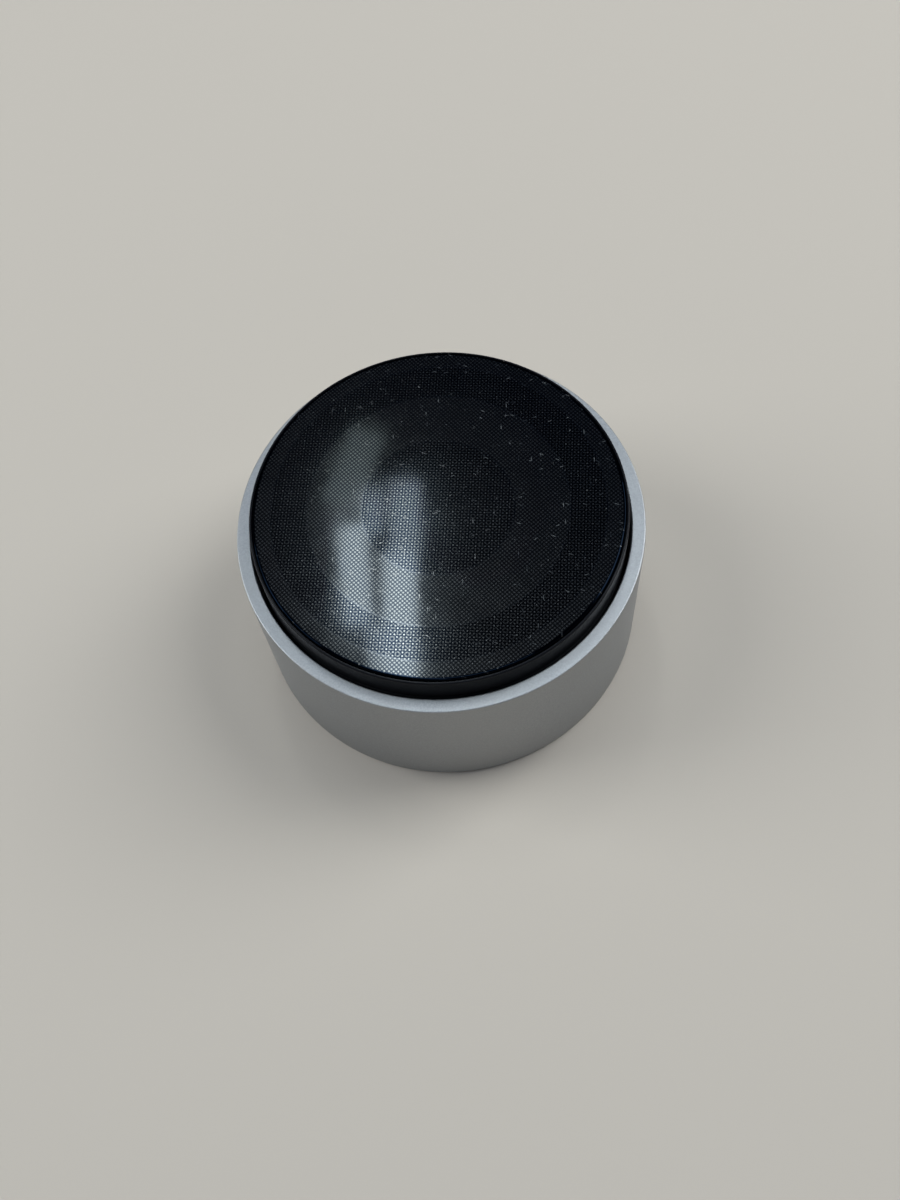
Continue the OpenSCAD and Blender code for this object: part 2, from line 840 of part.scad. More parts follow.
module base_cover() {
    color("#1b1c20") difference() {
        union() {
            rotate_extrude() polygon(concat(
                [
                    [0, cover_z],
                    [skirt_in_r, cover_z],
                    [skirt_in_r, seam_z + seat],
                    [base_r, seam_z + seat]
                ],
                arc(base_r - lip_edge, lip_z - lip_edge, lip_edge, 0, 90),
                [
                    [recess_r, lip_z],
                    [recess_r, cover_top_z],
                    [0, cover_top_z]
                ]
            ));
            at_magnets() rod(magnet_boss_r, magnet_z, cover_z + overlap);
        }
        at_magnets() rod(magnet_r + press_fit, magnet_z - 1, magnet_z + magnet_t);
    }
}

module electrode_film() {
    color("#30343c") rod(pad_r, cover_top_z, pad_z);
}

module grip_pad() {
    color("#0b0d12") rotate_extrude() polygon(concat(
        [[0, pad_z], [pad_r, pad_z]],
        arc(pad_r - pad_edge, top_z - pad_edge, pad_edge, 0, 90),
        [[0, top_z]]
    ));
}

dial_shell();
dial_hub();
hub_screws();
code_ring();
outer_race();
inner_race();
bearing_balls();
bearing_cage();
spindle();
race_clip();
stem_clip();
press_spring();
guide_plate();
board_screws();
main_board();
press_switch();
switch_plunger();
encoder_sensor();
controller_chip();
radio_chip();
radio_shield();
status_led();
light_pipe();
pair_switch();
pair_button();
haptic_case();
haptic_weight();
haptic_spring();
chassis();
battery_a();
battery_b();
bridge_contact();
positive_contact();
negative_contact();
striker_discs();
cover_magnets();
base_cover();
electrode_film();
grip_pad();
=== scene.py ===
"""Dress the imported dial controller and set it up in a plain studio.

Every CAD node gets a finish. The two cells and the two springs are modelled anew and stand for their CAD
nodes.
"""

import logging
import math
from collections.abc import Callable
from dataclasses import dataclass, field
from enum import Enum

import bmesh
import bpy
from mathutils import Matrix, Vector


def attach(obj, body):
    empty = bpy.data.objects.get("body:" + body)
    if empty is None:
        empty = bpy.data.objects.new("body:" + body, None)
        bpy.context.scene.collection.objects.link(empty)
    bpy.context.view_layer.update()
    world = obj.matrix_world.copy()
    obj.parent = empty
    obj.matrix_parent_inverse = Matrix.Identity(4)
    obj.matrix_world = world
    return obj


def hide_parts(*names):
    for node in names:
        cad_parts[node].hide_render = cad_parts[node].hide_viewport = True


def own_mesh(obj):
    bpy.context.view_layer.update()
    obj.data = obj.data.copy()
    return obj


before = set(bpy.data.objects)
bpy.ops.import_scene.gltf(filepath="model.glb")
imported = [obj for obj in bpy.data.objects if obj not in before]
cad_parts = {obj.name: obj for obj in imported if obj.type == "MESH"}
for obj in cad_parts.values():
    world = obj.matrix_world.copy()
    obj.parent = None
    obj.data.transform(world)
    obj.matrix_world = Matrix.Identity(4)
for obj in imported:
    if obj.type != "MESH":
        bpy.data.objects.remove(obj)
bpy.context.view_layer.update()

LOG = logging.getLogger("dial_controller")
MM = 0.001
PER_MM = 1000.0
TURN = 2.0 * math.pi
QUARTER_TURN = 0.5 * math.pi
SIDES = 96
WIRE_SIDES = 16
COIL_STEPS = 48
WELD = 0.001
NEAR = 0.003
SMOOTH = math.radians(32.0)
PANE_HEIGHT = 0.8

BLACK = (0.0, 0.0, 0.0)
WHITE = (1.0, 1.0, 1.0)
DAYLIGHT = (0.93, 0.98, 1.0)
SKYLIGHT = (0.86, 0.95, 1.0)
PALE_GREEN = (0.9, 1.0, 0.94)

Colour = tuple[float, float, float]
Point = tuple[float, float, float]
Range = tuple[float, float]
Socket = bpy.types.NodeSocket
Value = bpy.types.NodeSocket | float


class Axis(Enum):
    """Direction in which a piece or a pattern runs, or one part of a colour."""

    X = (1.0, 0.0, 0.0)
    Y = (0.0, 1.0, 0.0)
    Z = (0.0, 0.0, 1.0)


class Contrast(Enum):
    """Part of a noise's range that is spread out from 0 to 1."""

    SOFT = (0.2, 0.8)
    PLAIN = (0.25, 0.75)
    FIRM = (0.3, 0.7)


class CellEnd(Enum):
    """Where a cell lies in the bay: the side of the middle and the turn about the upright axis."""

    A = (1.0, 0.0)
    B = (-1.0, math.pi)


def toned(colour: Colour, share: float, lift: float = 0.0) -> Colour:
    """Return a lighter or darker colour, up to white."""
    return tuple(min(1.0, share * part + lift) for part in colour)


def tinted(colour: Colour, shares: Colour) -> Colour:
    """Return a colour with each of its parts multiplied."""
    return tuple(share * part for share, part in zip(shares, colour))


class NodeBook:
    """Node tree that is written in steps."""

    def __init__(self, tree: bpy.types.NodeTree) -> None:
        """Start with an empty tree of a material or of the world."""
        self.tree = tree
        self.tree.nodes.clear()

    def add(self, kind: str, **settings: object) -> bpy.types.Node:
        """Add a node.

        Args:
            kind: Blender's name of the node type.
            settings: properties of the node.

        Returns:
            The new node.
        """
        node = self.tree.nodes.new(kind)
        for key, value in settings.items():
            setattr(node, key, value)
        return node

    def feed(self, node: bpy.types.Node, values: dict[str | int, object]) -> None:
        """Set or link a node's inputs.

        Args:
            node: node to feed.
            values: a value or a socket for each input's name or number.
        """
        for key, value in values.items():
            if isinstance(value, bpy.types.NodeSocket):
                self.tree.links.new(value, node.inputs[key])
            else:
                node.inputs[key].default_value = value

    def vector(self, operation: str, *inputs: Socket | Point) -> bpy.types.Node:
        """Add a sum on vectors.

        Args:
            operation: Blender's name of the sum.
            inputs: vectors that it takes.

        Returns:
            The new node.
        """
        node = self.add("ShaderNodeVectorMath", operation=operation)
        self.feed(node, dict(enumerate(inputs)))
        return node

    def scaled(self, vector: Socket, scale: Point) -> Socket:
        """Return a vector with each of its parts multiplied."""
        return self.vector("MULTIPLY", vector, scale).outputs[0]

    def dot(self, vector: Socket, direction: Point) -> Socket:
        """Return how far a vector reaches along a direction."""
        return self.vector("DOT_PRODUCT", vector, direction).outputs["Value"]

    def length(self, vector: Socket) -> Socket:
        """Return a vector's length."""
        return self.vector("LENGTH", vector).outputs["Value"]

    def math(self, operation: str, first: Value, second: Value = 0.0, third: Value = 0.0) -> Socket:
        """Add a sum on numbers.

        Args:
            operation: Blender's name of the sum.
            first: first number.
            second: second number, where the sum takes one.
            third: third number, where the sum takes one.

        Returns:
            The result.
        """
        node = self.add("ShaderNodeMath", operation=operation)
        self.feed(node, {0: first, 1: second, 2: third})
        return node.outputs[0]

    def times(self, first: Value, second: Value) -> Socket:
        """Return the product of two numbers."""
        return self.math("MULTIPLY", first, second)

    def most(self, first: Value, second: Value) -> Socket:
        """Return the larger of two numbers."""
        return self.math("MAXIMUM", first, second)

    def rest(self, share: Socket) -> Socket:
        """Return what a share leaves of 1."""
        return self.math("SUBTRACT", 1.0, share)

    def apart(self, value: Socket, place: float) -> Socket:
        """Return how far a number is from a place."""
        return self.math("ABSOLUTE", self.math("SUBTRACT", value, place))

    def raised(self, base: Value, value: Socket, share: float) -> Socket:
        """Return a base number raised by a share of another."""
        return self.math("MULTIPLY_ADD", value, share, base)

    def span(self, value: Value, low: float, high: float,
             to_low: float = 0.0, to_high: float = 1.0) -> Socket:
        """Carry a number smoothly from one range to another, and hold it at the ends.

        Args:
            value: number to carry.
            low: start of the range that it comes from.
            high: end of that range, which may be below its start.
            to_low: result at the start.
            to_high: result at the end.

        Returns:
            The result.
        """
        node = self.add("ShaderNodeMapRange", interpolation_type="SMOOTHSTEP")
        self.feed(node, {0: value, 1: low, 2: high, 3: to_low, 4: to_high})
        return node.outputs[0]

    def mixed(self, share: Value, first: Socket | Colour, second: Socket | Colour) -> Socket:
        """Blend two colours.

        Args:
            share: share of the second colour.
            first: colour at a share of 0.
            second: colour at a share of 1.

        Returns:
            The blended colour.
        """
        node = self.add("ShaderNodeMix", data_type="RGBA")
        pair = [c if isinstance(c, bpy.types.NodeSocket) else (*c, 1.0) for c in (first, second)]
        self.feed(node, {0: share, 6: pair[0], 7: pair[1]})
        return node.outputs[2]


class Graph(NodeBook):
    """Node tree of one material, on coordinates in millimetres."""

    def __init__(self, name: str) -> None:
        """Start a material with a shader and millimetre coordinates.

        Args:
            name: name of the material.
        """
        self.material = bpy.data.materials.new(name)
        self.material.use_nodes = True
        super().__init__(self.material.node_tree)
        output = self.add("ShaderNodeOutputMaterial")
        self.shader = self.add("ShaderNodeBsdfPrincipled")
        self.tree.links.new(self.shader.outputs[0], output.inputs[0])
        place = self.add("ShaderNodeTexCoord").outputs["Object"]
        self.mm = self.scaled(place, (PER_MM, PER_MM, PER_MM))

    def height(self) -> Socket:
        """Return the height above the dial's flat face."""
        return self.dot(self.mm, Axis.Z.value)

    def flat(self) -> Socket:
        """Return the coordinates without their height."""
        return self.scaled(self.mm, (1.0, 1.0, 0.0))

    def placed(self, centre: Point, turn: float = 0.0) -> Socket:
        """Count the coordinates from a centre and turn them.

        Args:
            centre: place that is counted from.
            turn: turn about the upright axis in radians.

        Returns:
            The new coordinates.
        """
        node = self.add("ShaderNodeMapping", vector_type="TEXTURE")
        self.feed(node, {0: self.mm, 1: centre, 2: (0.0, 0.0, turn)})
        return node.outputs[0]

    def noise(self, vector: Socket, size: float, detail: float = 2.0) -> Socket:
        """Add cloudy noise.

        Args:
            vector: coordinates.
            size: size of its lumps.
            detail: number of finer layers.

        Returns:
            The noise, from 0 to 1.
        """
        node = self.add("ShaderNodeTexNoise")
        self.feed(node, {"Vector": vector, "Scale": 1.0 / size, "Detail": detail})
        return node.outputs[0]

    def cells(self, vector: Socket, size: float, feature: str = "F1", space: str = "3D") -> bpy.types.Node:
        """Add a cell texture.

        Args:
            vector: coordinates.
            size: size of its cells.
            feature: Blender's name of what is measured.
            space: 2D or 3D.

        Returns:
            The new node.
        """
        node = self.add("ShaderNodeTexVoronoi", feature=feature, voronoi_dimensions=space)
        self.feed(node, {"Vector": vector, "Scale": 1.0 / size})
        return node

    def wave(self, phase: Socket) -> Socket:
        """Return waves from 0 to 1."""
        return self.raised(0.5, self.math("SINE", phase), 0.5)

    def ridges(self, vector: Socket, degrees: float, pitch: float) -> Socket:
        """Add straight ridges that follow each other in the XY plane.

        Args:
            vector: coordinates.
            degrees: direction in which they follow each other.
            pitch: distance from ridge to ridge.

        Returns:
            The ridges' height, from 0 to 1.
        """
        angle = math.radians(degrees)
        across = self.dot(vector, (math.cos(angle), math.sin(angle), 0.0))
        return self.wave(self.times(across, TURN / pitch))

    def stepped(self, value: Socket, reach: float, stops: list[Range]) -> Socket:
        """Look up grey levels that change in steps.

        Args:
            value: number to look up.
            reach: value at the end of the scale.
            stops: the place and the level of each step.

        Returns:
            The level, from 0 to 1.
        """
        node = self.add("ShaderNodeValToRGB")
        ramp = node.color_ramp
        ramp.interpolation = "CONSTANT"
        while len(ramp.elements) < len(stops):
            ramp.elements.new(0.5)
        for element, (place, level) in zip(ramp.elements, stops):
            element.position = place / reach
            element.color = (level, level, level, 1.0)
        self.feed(node, {0: self.math("DIVIDE", value, reach)})
        return node.outputs[0]

    def bump(self, height: Socket, depth: float, strength: float) -> Socket:
        """Turn a height into a relief.

        Args:
            height: height from 0 to 1.
            depth: depth of the relief.
            strength: share of the relief that shows.

        Returns:
            The normal.
        """
        node = self.add("ShaderNodeBump")
        self.feed(node, {"Strength": strength, "Distance": depth * MM, "Height": height})
        return node.outputs[0]

    def shade(self, **inputs: object) -> None:
        """Feed the shader; an underscore in a name stands for a space."""
        self.feed(self.shader, {key.replace("_", " "): value for key, value in inputs.items()})


@dataclass(frozen=True)
class Finish:
    """A surface finish that paints one material. Sizes are in millimetres."""

    name: str
    colour: Colour
    roughness: float = 0.5
    swing: float = 0.14

    def paint(self, graph: Graph) -> None:
        """Build the finish's nodes; each kind of finish has its own."""
        raise NotImplementedError

    def rough(self, graph: Graph, pattern: Socket) -> Socket:
        """Return a roughness that swings about the finish's own with a pattern."""
        return graph.raised(self.roughness - 0.5 * self.swing, pattern, self.swing)

    def make(self) -> bpy.types.Material:
        """Make the material on first use.

        Returns:
            The finish's material.
        """
        found = bpy.data.materials.get(self.name)
        if found is None:
            graph = Graph(self.name)
            self.paint(graph)
            found = graph.material
        return found

    def dress(self, *nodes: str) -> None:
        """Put the finish on CAD nodes.

        Args:
            nodes: names of the nodes.
        """
        for name in nodes:
            self.cover(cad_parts[name])
            LOG.info("%s: %s", name, self.name)

    def cover(self, piece: bpy.types.Object) -> None:
        """Put the finish in all of a piece's material slots.

        Args:
            piece: piece to cover.
        """
        material = self.make()
        if not piece.material_slots:
            piece.data.materials.append(material)
        for slot in piece.material_slots:
            slot.material = material


@dataclass(frozen=True)
class BlastedAluminium(Finish):
    """Bead-blasted and anodised aluminium with a fine dimpled grain and a little polish on its edges."""

    swing: float = 0.16
    dimple: float = 0.16
    grain: float = 0.24
    depth: float = 0.012
    relief: float = 0.35
    face_edge: Range = (0.7, 0.0)
    rim_edge: Range = (25.55, 25.78)
    rub: float = 2.4
    rub_polish: float = 0.08
    light: float = 1.12
    dark: float = 0.88
    cloud: float = 9.0
    cloud_share: float = 0.35
    warm: Colour = (1.0, 0.985, 0.96)

    def paint(self, graph: Graph) -> None:
        """Lay dimples, sparkle and edge polish on the metal.

        Args:
            graph: node tree of the material.
        """
        dimples = graph.cells(graph.mm, self.dimple, "SMOOTH_F1").outputs["Distance"]
        grain = graph.noise(graph.mm, self.grain, detail=1.0)
        cloud = graph.noise(graph.mm, self.cloud)
        height = graph.height()
        edges = graph.math("ADD", graph.span(height, *self.face_edge), graph.span(height, *self.rim_edge))
        rubbed = graph.times(edges, graph.noise(graph.mm, self.rub, detail=4.0))
        sparkle = graph.span(grain, *Contrast.SOFT.value)
        tone = graph.mixed(sparkle, toned(self.colour, self.dark), toned(self.colour, self.light))
        clouded = graph.span(cloud, *Contrast.FIRM.value, 0.0, self.cloud_share)
        base = graph.mixed(clouded, tone, tinted(self.colour, self.warm))
        rough = graph.raised(self.rough(graph, grain), rubbed, -self.rub_polish)
        relief = graph.bump(dimples, self.depth, self.relief)
        graph.shade(Base_Color=base, Roughness=rough, Normal=relief, Metallic=1.0)


@dataclass(frozen=True)
class MouldedPlastic(Finish):
    """Moulded plastic with a spark-eroded texture and faint flow clouds, polished above a height."""

    texture: float = 0.25
    fine_share: float = 1.6
    depth: float = 0.01
    relief: float = 0.5
    shine: float = 0.5
    polish: float = 0.0
    polish_from: float = 0.0
    polish_band: float = 0.1
    cloud: float = 5.0
    light: float = 1.25
    lift: float = 0.002
    worn: Range = (0.55, 0.8)
    worn_polish: float = 0.06

    def paint(self, graph: Graph) -> None:
        """Lay the mould's texture, clouds and rubbed spots on the plastic.

        Args:
            graph: node tree of the material.
        """
        pits = graph.cells(graph.mm, self.texture, "SMOOTH_F1").outputs["Distance"]
        fine = graph.noise(graph.mm, self.texture * self.fine_share, detail=3.0)
        cloud = graph.noise(graph.mm, self.cloud, detail=3.0)
        light = toned(self.colour, self.light, self.lift)
        base = graph.mixed(graph.span(cloud, *Contrast.PLAIN.value), self.colour, light)
        rough = graph.raised(self.rough(graph, fine), graph.span(cloud, *self.worn), -self.worn_polish)
        handled = graph.span(graph.height(), self.polish_from, self.polish_from + self.polish_band)
        rough = graph.raised(rough, handled, -self.polish)
        relief = graph.bump(graph.math("ADD", pits, fine), self.depth, self.relief)
        graph.shade(Base_Color=base, Roughness=rough, Normal=relief, Specular_IOR_Level=self.shine)


@dataclass(frozen=True)
class TurnedMetal(Finish):
    """Metal turned or ground about the dial's axis, with fine circular marks."""

    pitch: float = 0.22
    depth: float = 0.006
    relief: float = 0.4
    wander: float = 1.8
    wander_phase: float = 3.0
    film: float = 3.5
    dark: float = 0.84
    mark_share: float = 0.35

    def paint(self, graph: Graph) -> None:
        """Lay circular tool marks and a thin uneven film on the metal.

        Args:
            graph: node tree of the material.
        """
        path = graph.math("ADD", graph.length(graph.flat()), graph.height())
        wander = graph.noise(graph.mm, self.wander)
        mark = graph.wave(graph.raised(graph.times(path, TURN / self.pitch), wander, self.wander_phase))
        film = graph.noise(graph.mm, self.film, detail=3.0)
        share = graph.raised(graph.times(film, 1.0 - self.mark_share), mark, self.mark_share)
        base = graph.mixed(share, toned(self.colour, self.dark), self.colour)
        relief = graph.bump(mark, self.depth, self.relief)
        graph.shade(Base_Color=base, Roughness=self.rough(graph, film), Normal=relief, Metallic=1.0)


@dataclass(frozen=True)
class PlatedMetal(Finish):
    """Stamped, drawn or plated metal with a mottled film and fine handling marks."""

    swing: float = 0.18
    mottle: float = 1.2
    stain: float = 0.75
    stain_spread: float = 3.0
    hair_spread: float = 1.6
    hair_stretch: Point = (1.0, 9.0, 9.0)
    tint: Colour = (1.0, 0.96, 0.9)
    tint_range: Range = (0.45, 0.8)
    tint_share: float = 0.5
    depth: float = 0.004
    relief: float = 0.3

    def paint(self, graph: Graph) -> None:
        """Lay mottles, stains and hairline scratches on the metal.

        Args:
            graph: node tree of the material.
        """
        mottle = graph.noise(graph.mm, self.mottle, detail=4.0)
        stain = graph.noise(graph.mm, self.mottle * self.stain_spread)
        stretched = graph.scaled(graph.mm, self.hair_stretch)
        hair = graph.noise(stretched, self.mottle * self.hair_spread, detail=5.0)
        dark = toned(self.colour, self.stain)
        base = graph.mixed(graph.span(mottle, *Contrast.PLAIN.value), dark, self.colour)
        stained = graph.span(stain, *self.tint_range, 0.0, self.tint_share)
        base = graph.mixed(stained, base, tinted(self.colour, self.tint))
        relief = graph.bump(hair, self.depth, self.relief)
        graph.shade(Base_Color=base, Roughness=self.rough(graph, mottle), Normal=relief, Metallic=1.0)


@dataclass(frozen=True)
class SolderMask(Finish):
    """Circuit board: glossy mask over copper tracks, with bare plated pads round the screw holes."""

    swing: float = 0.16
    track: float = 1.1
    track_edge: Range = (0.32, 0.38)
    square_scale: float = 0.8
    square_spread: float = 0.75
    cut_edge: Range = (0.04, 0.08)
    light: float = 1.7
    lift: float = 0.01
    screw_x: float = 8.0
    screw_y: float = 13.25
    ring: float = 2.1
    ring_edge: float = 0.1
    plating: Colour = (0.74, 0.62, 0.36)
    film: float = 2.0
    depth: float = 0.03
    relief: float = 0.5
    coat: float = 0.4
    coat_roughness: float = 0.15

    def paint(self, graph: Graph) -> None:
        """Lay tracks under the mask and plated rings round the holes.

        Args:
            graph: node tree of the material.
        """
        cuts = graph.cells(graph.mm, self.track, "DISTANCE_TO_EDGE").outputs["Distance"]
        squares = graph.add("ShaderNodeTexVoronoi", feature="F1", distance="CHEBYCHEV")
        scale = self.square_scale / self.track
        graph.feed(squares, {"Vector": graph.mm, "Scale": scale, "Randomness": self.square_spread})
        tracks = graph.span(squares.outputs["Distance"], *self.track_edge)
        copper = graph.times(tracks, graph.span(cuts, *self.cut_edge))
        mask = graph.mixed(copper, self.colour, toned(self.colour, self.light, self.lift))
        folded = graph.vector("ABSOLUTE", graph.flat()).outputs[0]
        off = graph.vector("SUBTRACT", folded, (self.screw_x, self.screw_y, 0.0)).outputs[0]
        plated = graph.span(graph.length(off), self.ring, self.ring - self.ring_edge)
        base = graph.mixed(plated, mask, self.plating)
        rough = self.rough(graph, graph.noise(graph.mm, self.film))
        relief = graph.bump(copper, self.depth, self.relief)
        graph.shade(Base_Color=base, Roughness=rough, Normal=relief, Metallic=plated)
        graph.shade(Coat_Weight=self.coat, Coat_Roughness=self.coat_roughness)


@dataclass(frozen=True)
class ClearPlastic(Finish):
    """Clear moulded plastic with a faint haze and small flow lines."""

    swing: float = 0.1
    flow: float = 0.7
    flow_stretch: Point = (1.0, 1.0, 0.25)
    passing: float = 0.85
    refraction: float = 1.49
    depth: float = 0.01
    relief: float = 0.3

    def paint(self, graph: Graph) -> None:
        """Let the light through, with haze and flow lines.

        Args:
            graph: node tree of the material.
        """
        flow = graph.noise(graph.scaled(graph.mm, self.flow_stretch), self.flow, detail=3.0)
        base = graph.mixed(flow, self.colour, WHITE)
        relief = graph.bump(flow, self.depth, self.relief)
        graph.shade(Base_Color=base, Roughness=self.rough(graph, flow), Normal=relief)
        graph.shade(Transmission_Weight=self.passing, IOR=self.refraction)


@dataclass(frozen=True)
class PrintedSleeve(Finish):
    """Shrunk plastic sleeve of a cell: plain foil body, a darker band and a polarity mark at each end."""

    swing: float = 0.12
    band: Colour = (0.03, 0.035, 0.045)
    dark_ink: Colour = (0.01, 0.01, 0.012)
    pale_ink: Colour = (0.75, 0.76, 0.78)
    side: CellEnd = CellEnd.A
    row: float = 5.3
    band_start: float = -13.5
    band_edge: float = 0.15
    line_gap: float = 0.9
    line_half: float = 0.25
    mark_place: float = 17.6
    mark_size: float = 1.1
    mark_width: float = 0.3
    print_edge: float = 0.05
    top: float = 24.0
    top_band: float = 0.1
    ripple: float = 1.5
    ripple_stretch: Point = (0.35, 1.0, 1.0)
    grain: float = 1.1
    grain_stretch: Point = (9.0, 1.0, 1.0)
    dark: float = 0.85
    metal_share: float = 0.75
    depth: float = 0.05
    relief: float = 0.35
    coat: float = 0.5
    coat_roughness: float = 0.12

    def paint(self, graph: Graph) -> None:
        """Lay the band, the marks and the shrunk film's ripple on the foil.

        Args:
            graph: node tree of the material.
        """
        side, turn = self.side.value
        local = graph.placed((0.0, side * self.row, 0.0), turn)
        along = graph.dot(local, Axis.X.value)
        across = graph.math("ABSOLUTE", graph.dot(local, Axis.Y.value))
        above = graph.span(graph.dot(local, Axis.Z.value), self.top, self.top + self.top_band)
        plus = graph.apart(along, self.mark_place)
        far = graph.apart(along, -self.mark_place)
        bar = self._box(graph, plus, across, self.mark_size, self.mark_width)
        stem = self._box(graph, plus, across, self.mark_width, self.mark_size)
        minus = self._box(graph, far, across, self.mark_width, self.mark_size)
        marks = graph.times(above, graph.most(minus, graph.most(bar, stem)))
        ripple = graph.noise(graph.scaled(local, self.ripple_stretch), self.ripple, detail=3.0)
        grain = graph.noise(graph.scaled(local, self.grain_stretch), self.grain)
        foil = graph.mixed(grain, toned(self.colour, self.dark), self.colour)
        dark = graph.span(along, self.band_start, self.band_start - self.band_edge)
        line = self._within(graph, graph.apart(along, self.band_start + self.line_gap), self.line_half)
        base = graph.mixed(graph.most(dark, line), foil, self.band)
        base = graph.mixed(marks, base, self.dark_ink)
        base = graph.mixed(graph.times(marks, dark), base, self.pale_ink)
        metal = graph.times(graph.rest(graph.most(dark, marks)), self.metal_share)
        relief = graph.bump(ripple, self.depth, self.relief)
        graph.shade(Base_Color=base, Metallic=metal, Roughness=self.rough(graph, ripple), Normal=relief)
        graph.shade(Coat_Weight=self.coat, Coat_Roughness=self.coat_roughness)

    def _within(self, graph: Graph, gap: Socket, half: float) -> Socket:
        """Return 1 where a distance is less than a half width."""
        return graph.span(gap, half, half - self.print_edge)

    def _box(self, graph: Graph, along: Socket, across: Socket, long: float, wide: float) -> Socket:
        """Return 1 where two distances are less than the half widths of a rectangle."""
        return graph.times(self._within(graph, along, long), self._within(graph, across, wide))


@dataclass(frozen=True)
class MeshPad(Finish):
    """Glossy smoked rubber over a fine woven mesh, in zones of one and of two layers, with lint on it."""

    swing: float = 0.08
    glint: Colour = (0.095, 0.101, 0.094)
    pitch: float = 0.447
    first_turn: float = 34.5
    second_turn: float = 79.7
    softness: float = 0.09
    inner: float = 10.9
    middle: float = 18.7
    outer: float = 23.9
    reach: float = 30.0
    flat_edge: float = 26.15
    flat_band: float = 0.1
    single_share: float = 0.55
    double_share: float = 1.22
    double_power: float = 2.3
    uneven: float = 6.0
    uneven_share: Range = (0.75, 1.0)
    ring_edge: Range = (0.16, 0.05)
    ring_share: float = 0.2
    ring_colour: Colour = (0.045, 0.05, 0.055)
    depth: float = 0.002
    relief: float = 0.15
    thread_roughness: float = 0.3
    rim_tint: tuple[float, float, float, float] = (0.3, 0.32, 0.36, 1.0)
    lint_colour: Colour = (0.38, 0.39, 0.38)
    lint_roughness: float = 0.5
    drift: Point = (0.035, 0.02, 0.0)
    drift_edge: Range = (-0.9, 0.9)
    drift_least: float = 0.25
    drift_share: float = 0.85
    dust: float = 0.5
    dust_share: float = 0.004
    rag: float = 0.4
    rag_reach: Point = (0.9, 0.9, 0.0)
    specks: tuple[Point, ...] = ((0.8, 0.11, 0.42), (2.1, 0.12, 0.52))
    speck_rarity: float = 4.0
    speck_least: float = 0.3
    speck_core: float = 0.3
    fibres: tuple[Range, ...] = ((0.25, 2.6), (1.5, 3.3), (2.6, 3.0))
    fibre_shift: Range = (3.0, 2.0)
    fibre_stretch: Point = (0.16, 1.0, 0.0)
    fibre_cell: float = 0.3
    fibre_edge: Range = (0.09, 0.04)
    fibre_pick: tuple[float, float, float, float] = (0.7, 1.0, 0.0, 0.3)

    def paint(self, graph: Graph) -> None:
        """Lay the two meshes, the zone edges and the lint on the rubber.

        Args:
            graph: node tree of the material.
        """
        flat = graph.flat()
        radius = graph.length(flat)
        one = self._mesh(graph, flat, self.first_turn)
        two = self._mesh(graph, flat, self.second_turn)
        stops = [(0.0, 1.0), (self.inner, 0.0), (self.middle, 1.0), (self.outer, 0.0)]
        double = graph.stepped(radius, self.reach, stops)
        both = graph.math("POWER", graph.times(graph.math("ADD", one, two), 0.5), self.double_power)
        both = graph.times(double, graph.times(both, self.double_share))
        single = graph.times(graph.rest(double), graph.times(one, self.single_share))
        uneven = graph.noise(flat, self.uneven, detail=3.0)
        patchy = graph.span(uneven, *Contrast.SOFT.value, *self.uneven_share)
        weave = graph.times(graph.math("ADD", both, single), patchy)
        weave = graph.times(weave, graph.span(radius, self.flat_edge, self.flat_edge - self.flat_band))
        lint = self._lint(graph, flat)
        base = graph.mixed(weave, self.colour, self.glint)
        base = graph.mixed(graph.times(self._edges(graph, radius), self.ring_share), base, self.ring_colour)
        base = graph.mixed(lint, base, self.lint_colour)
        rough = graph.raised(self.rough(graph, uneven), lint, self.lint_roughness)
        relief = graph.bump(weave, self.depth, self.relief)
        graph.shade(Base_Color=base, Metallic=graph.rest(lint), Roughness=rough, Normal=relief)
        graph.shade(Specular_IOR_Level=0.0, Specular_Tint=self.rim_tint)
        graph.shade(Coat_Weight=weave, Coat_Roughness=self.thread_roughness)

    def _mesh(self, graph: Graph, flat: Socket, turn: float) -> Socket:
        """Weave one layer.

        Args:
            graph: node tree of the material.
            flat: coordinates on the pad.
            turn: direction of the weave in degrees.

        Returns:
            1 in the middle of each opening, and a little on the threads.
        """
        warp = graph.ridges(flat, turn, self.pitch)
        weft = graph.ridges(flat, turn + 90.0, self.pitch)
        return graph.raised(self.softness, graph.times(warp, weft), 1.0 - self.softness)

    def _edges(self, graph: Graph, radius: Socket) -> Socket:
        """Draw thin rings at the edges of the zones.

        Args:
            graph: node tree of the material.
            radius: distance from the pad's middle.

        Returns:
            1 on the rings.
        """
        rings = None
        for place in (self.inner, self.middle, self.outer):
            ring = graph.span(graph.apart(radius, place), *self.ring_edge)
            rings = ring if rings is None else graph.most(rings, ring)
        return rings

    def _lint(self, graph: Graph, flat: Socket) -> Socket:
        """Scatter dust, specks and short fibres, thicker towards the far and right sides.

        Args:
            graph: node tree of the material.
            flat: coordinates on the pad.

        Returns:
            How much the lint covers, from 0 to 1.
        """
        drift = graph.span(graph.dot(flat, self.drift), *self.drift_edge)
        lint = graph.times(graph.noise(flat, self.dust, detail=4.0), self.dust_share)
        ragged = self._ragged(graph, flat)
        for size, radius, share in self.specks:
            lint = graph.most(lint, self._speck(graph, ragged, size, radius, share))
        for turn, size in self.fibres:
            lint = graph.most(lint, self._fibre(graph, turn, size))
        return graph.times(lint, graph.raised(self.drift_least, drift, self.drift_share))

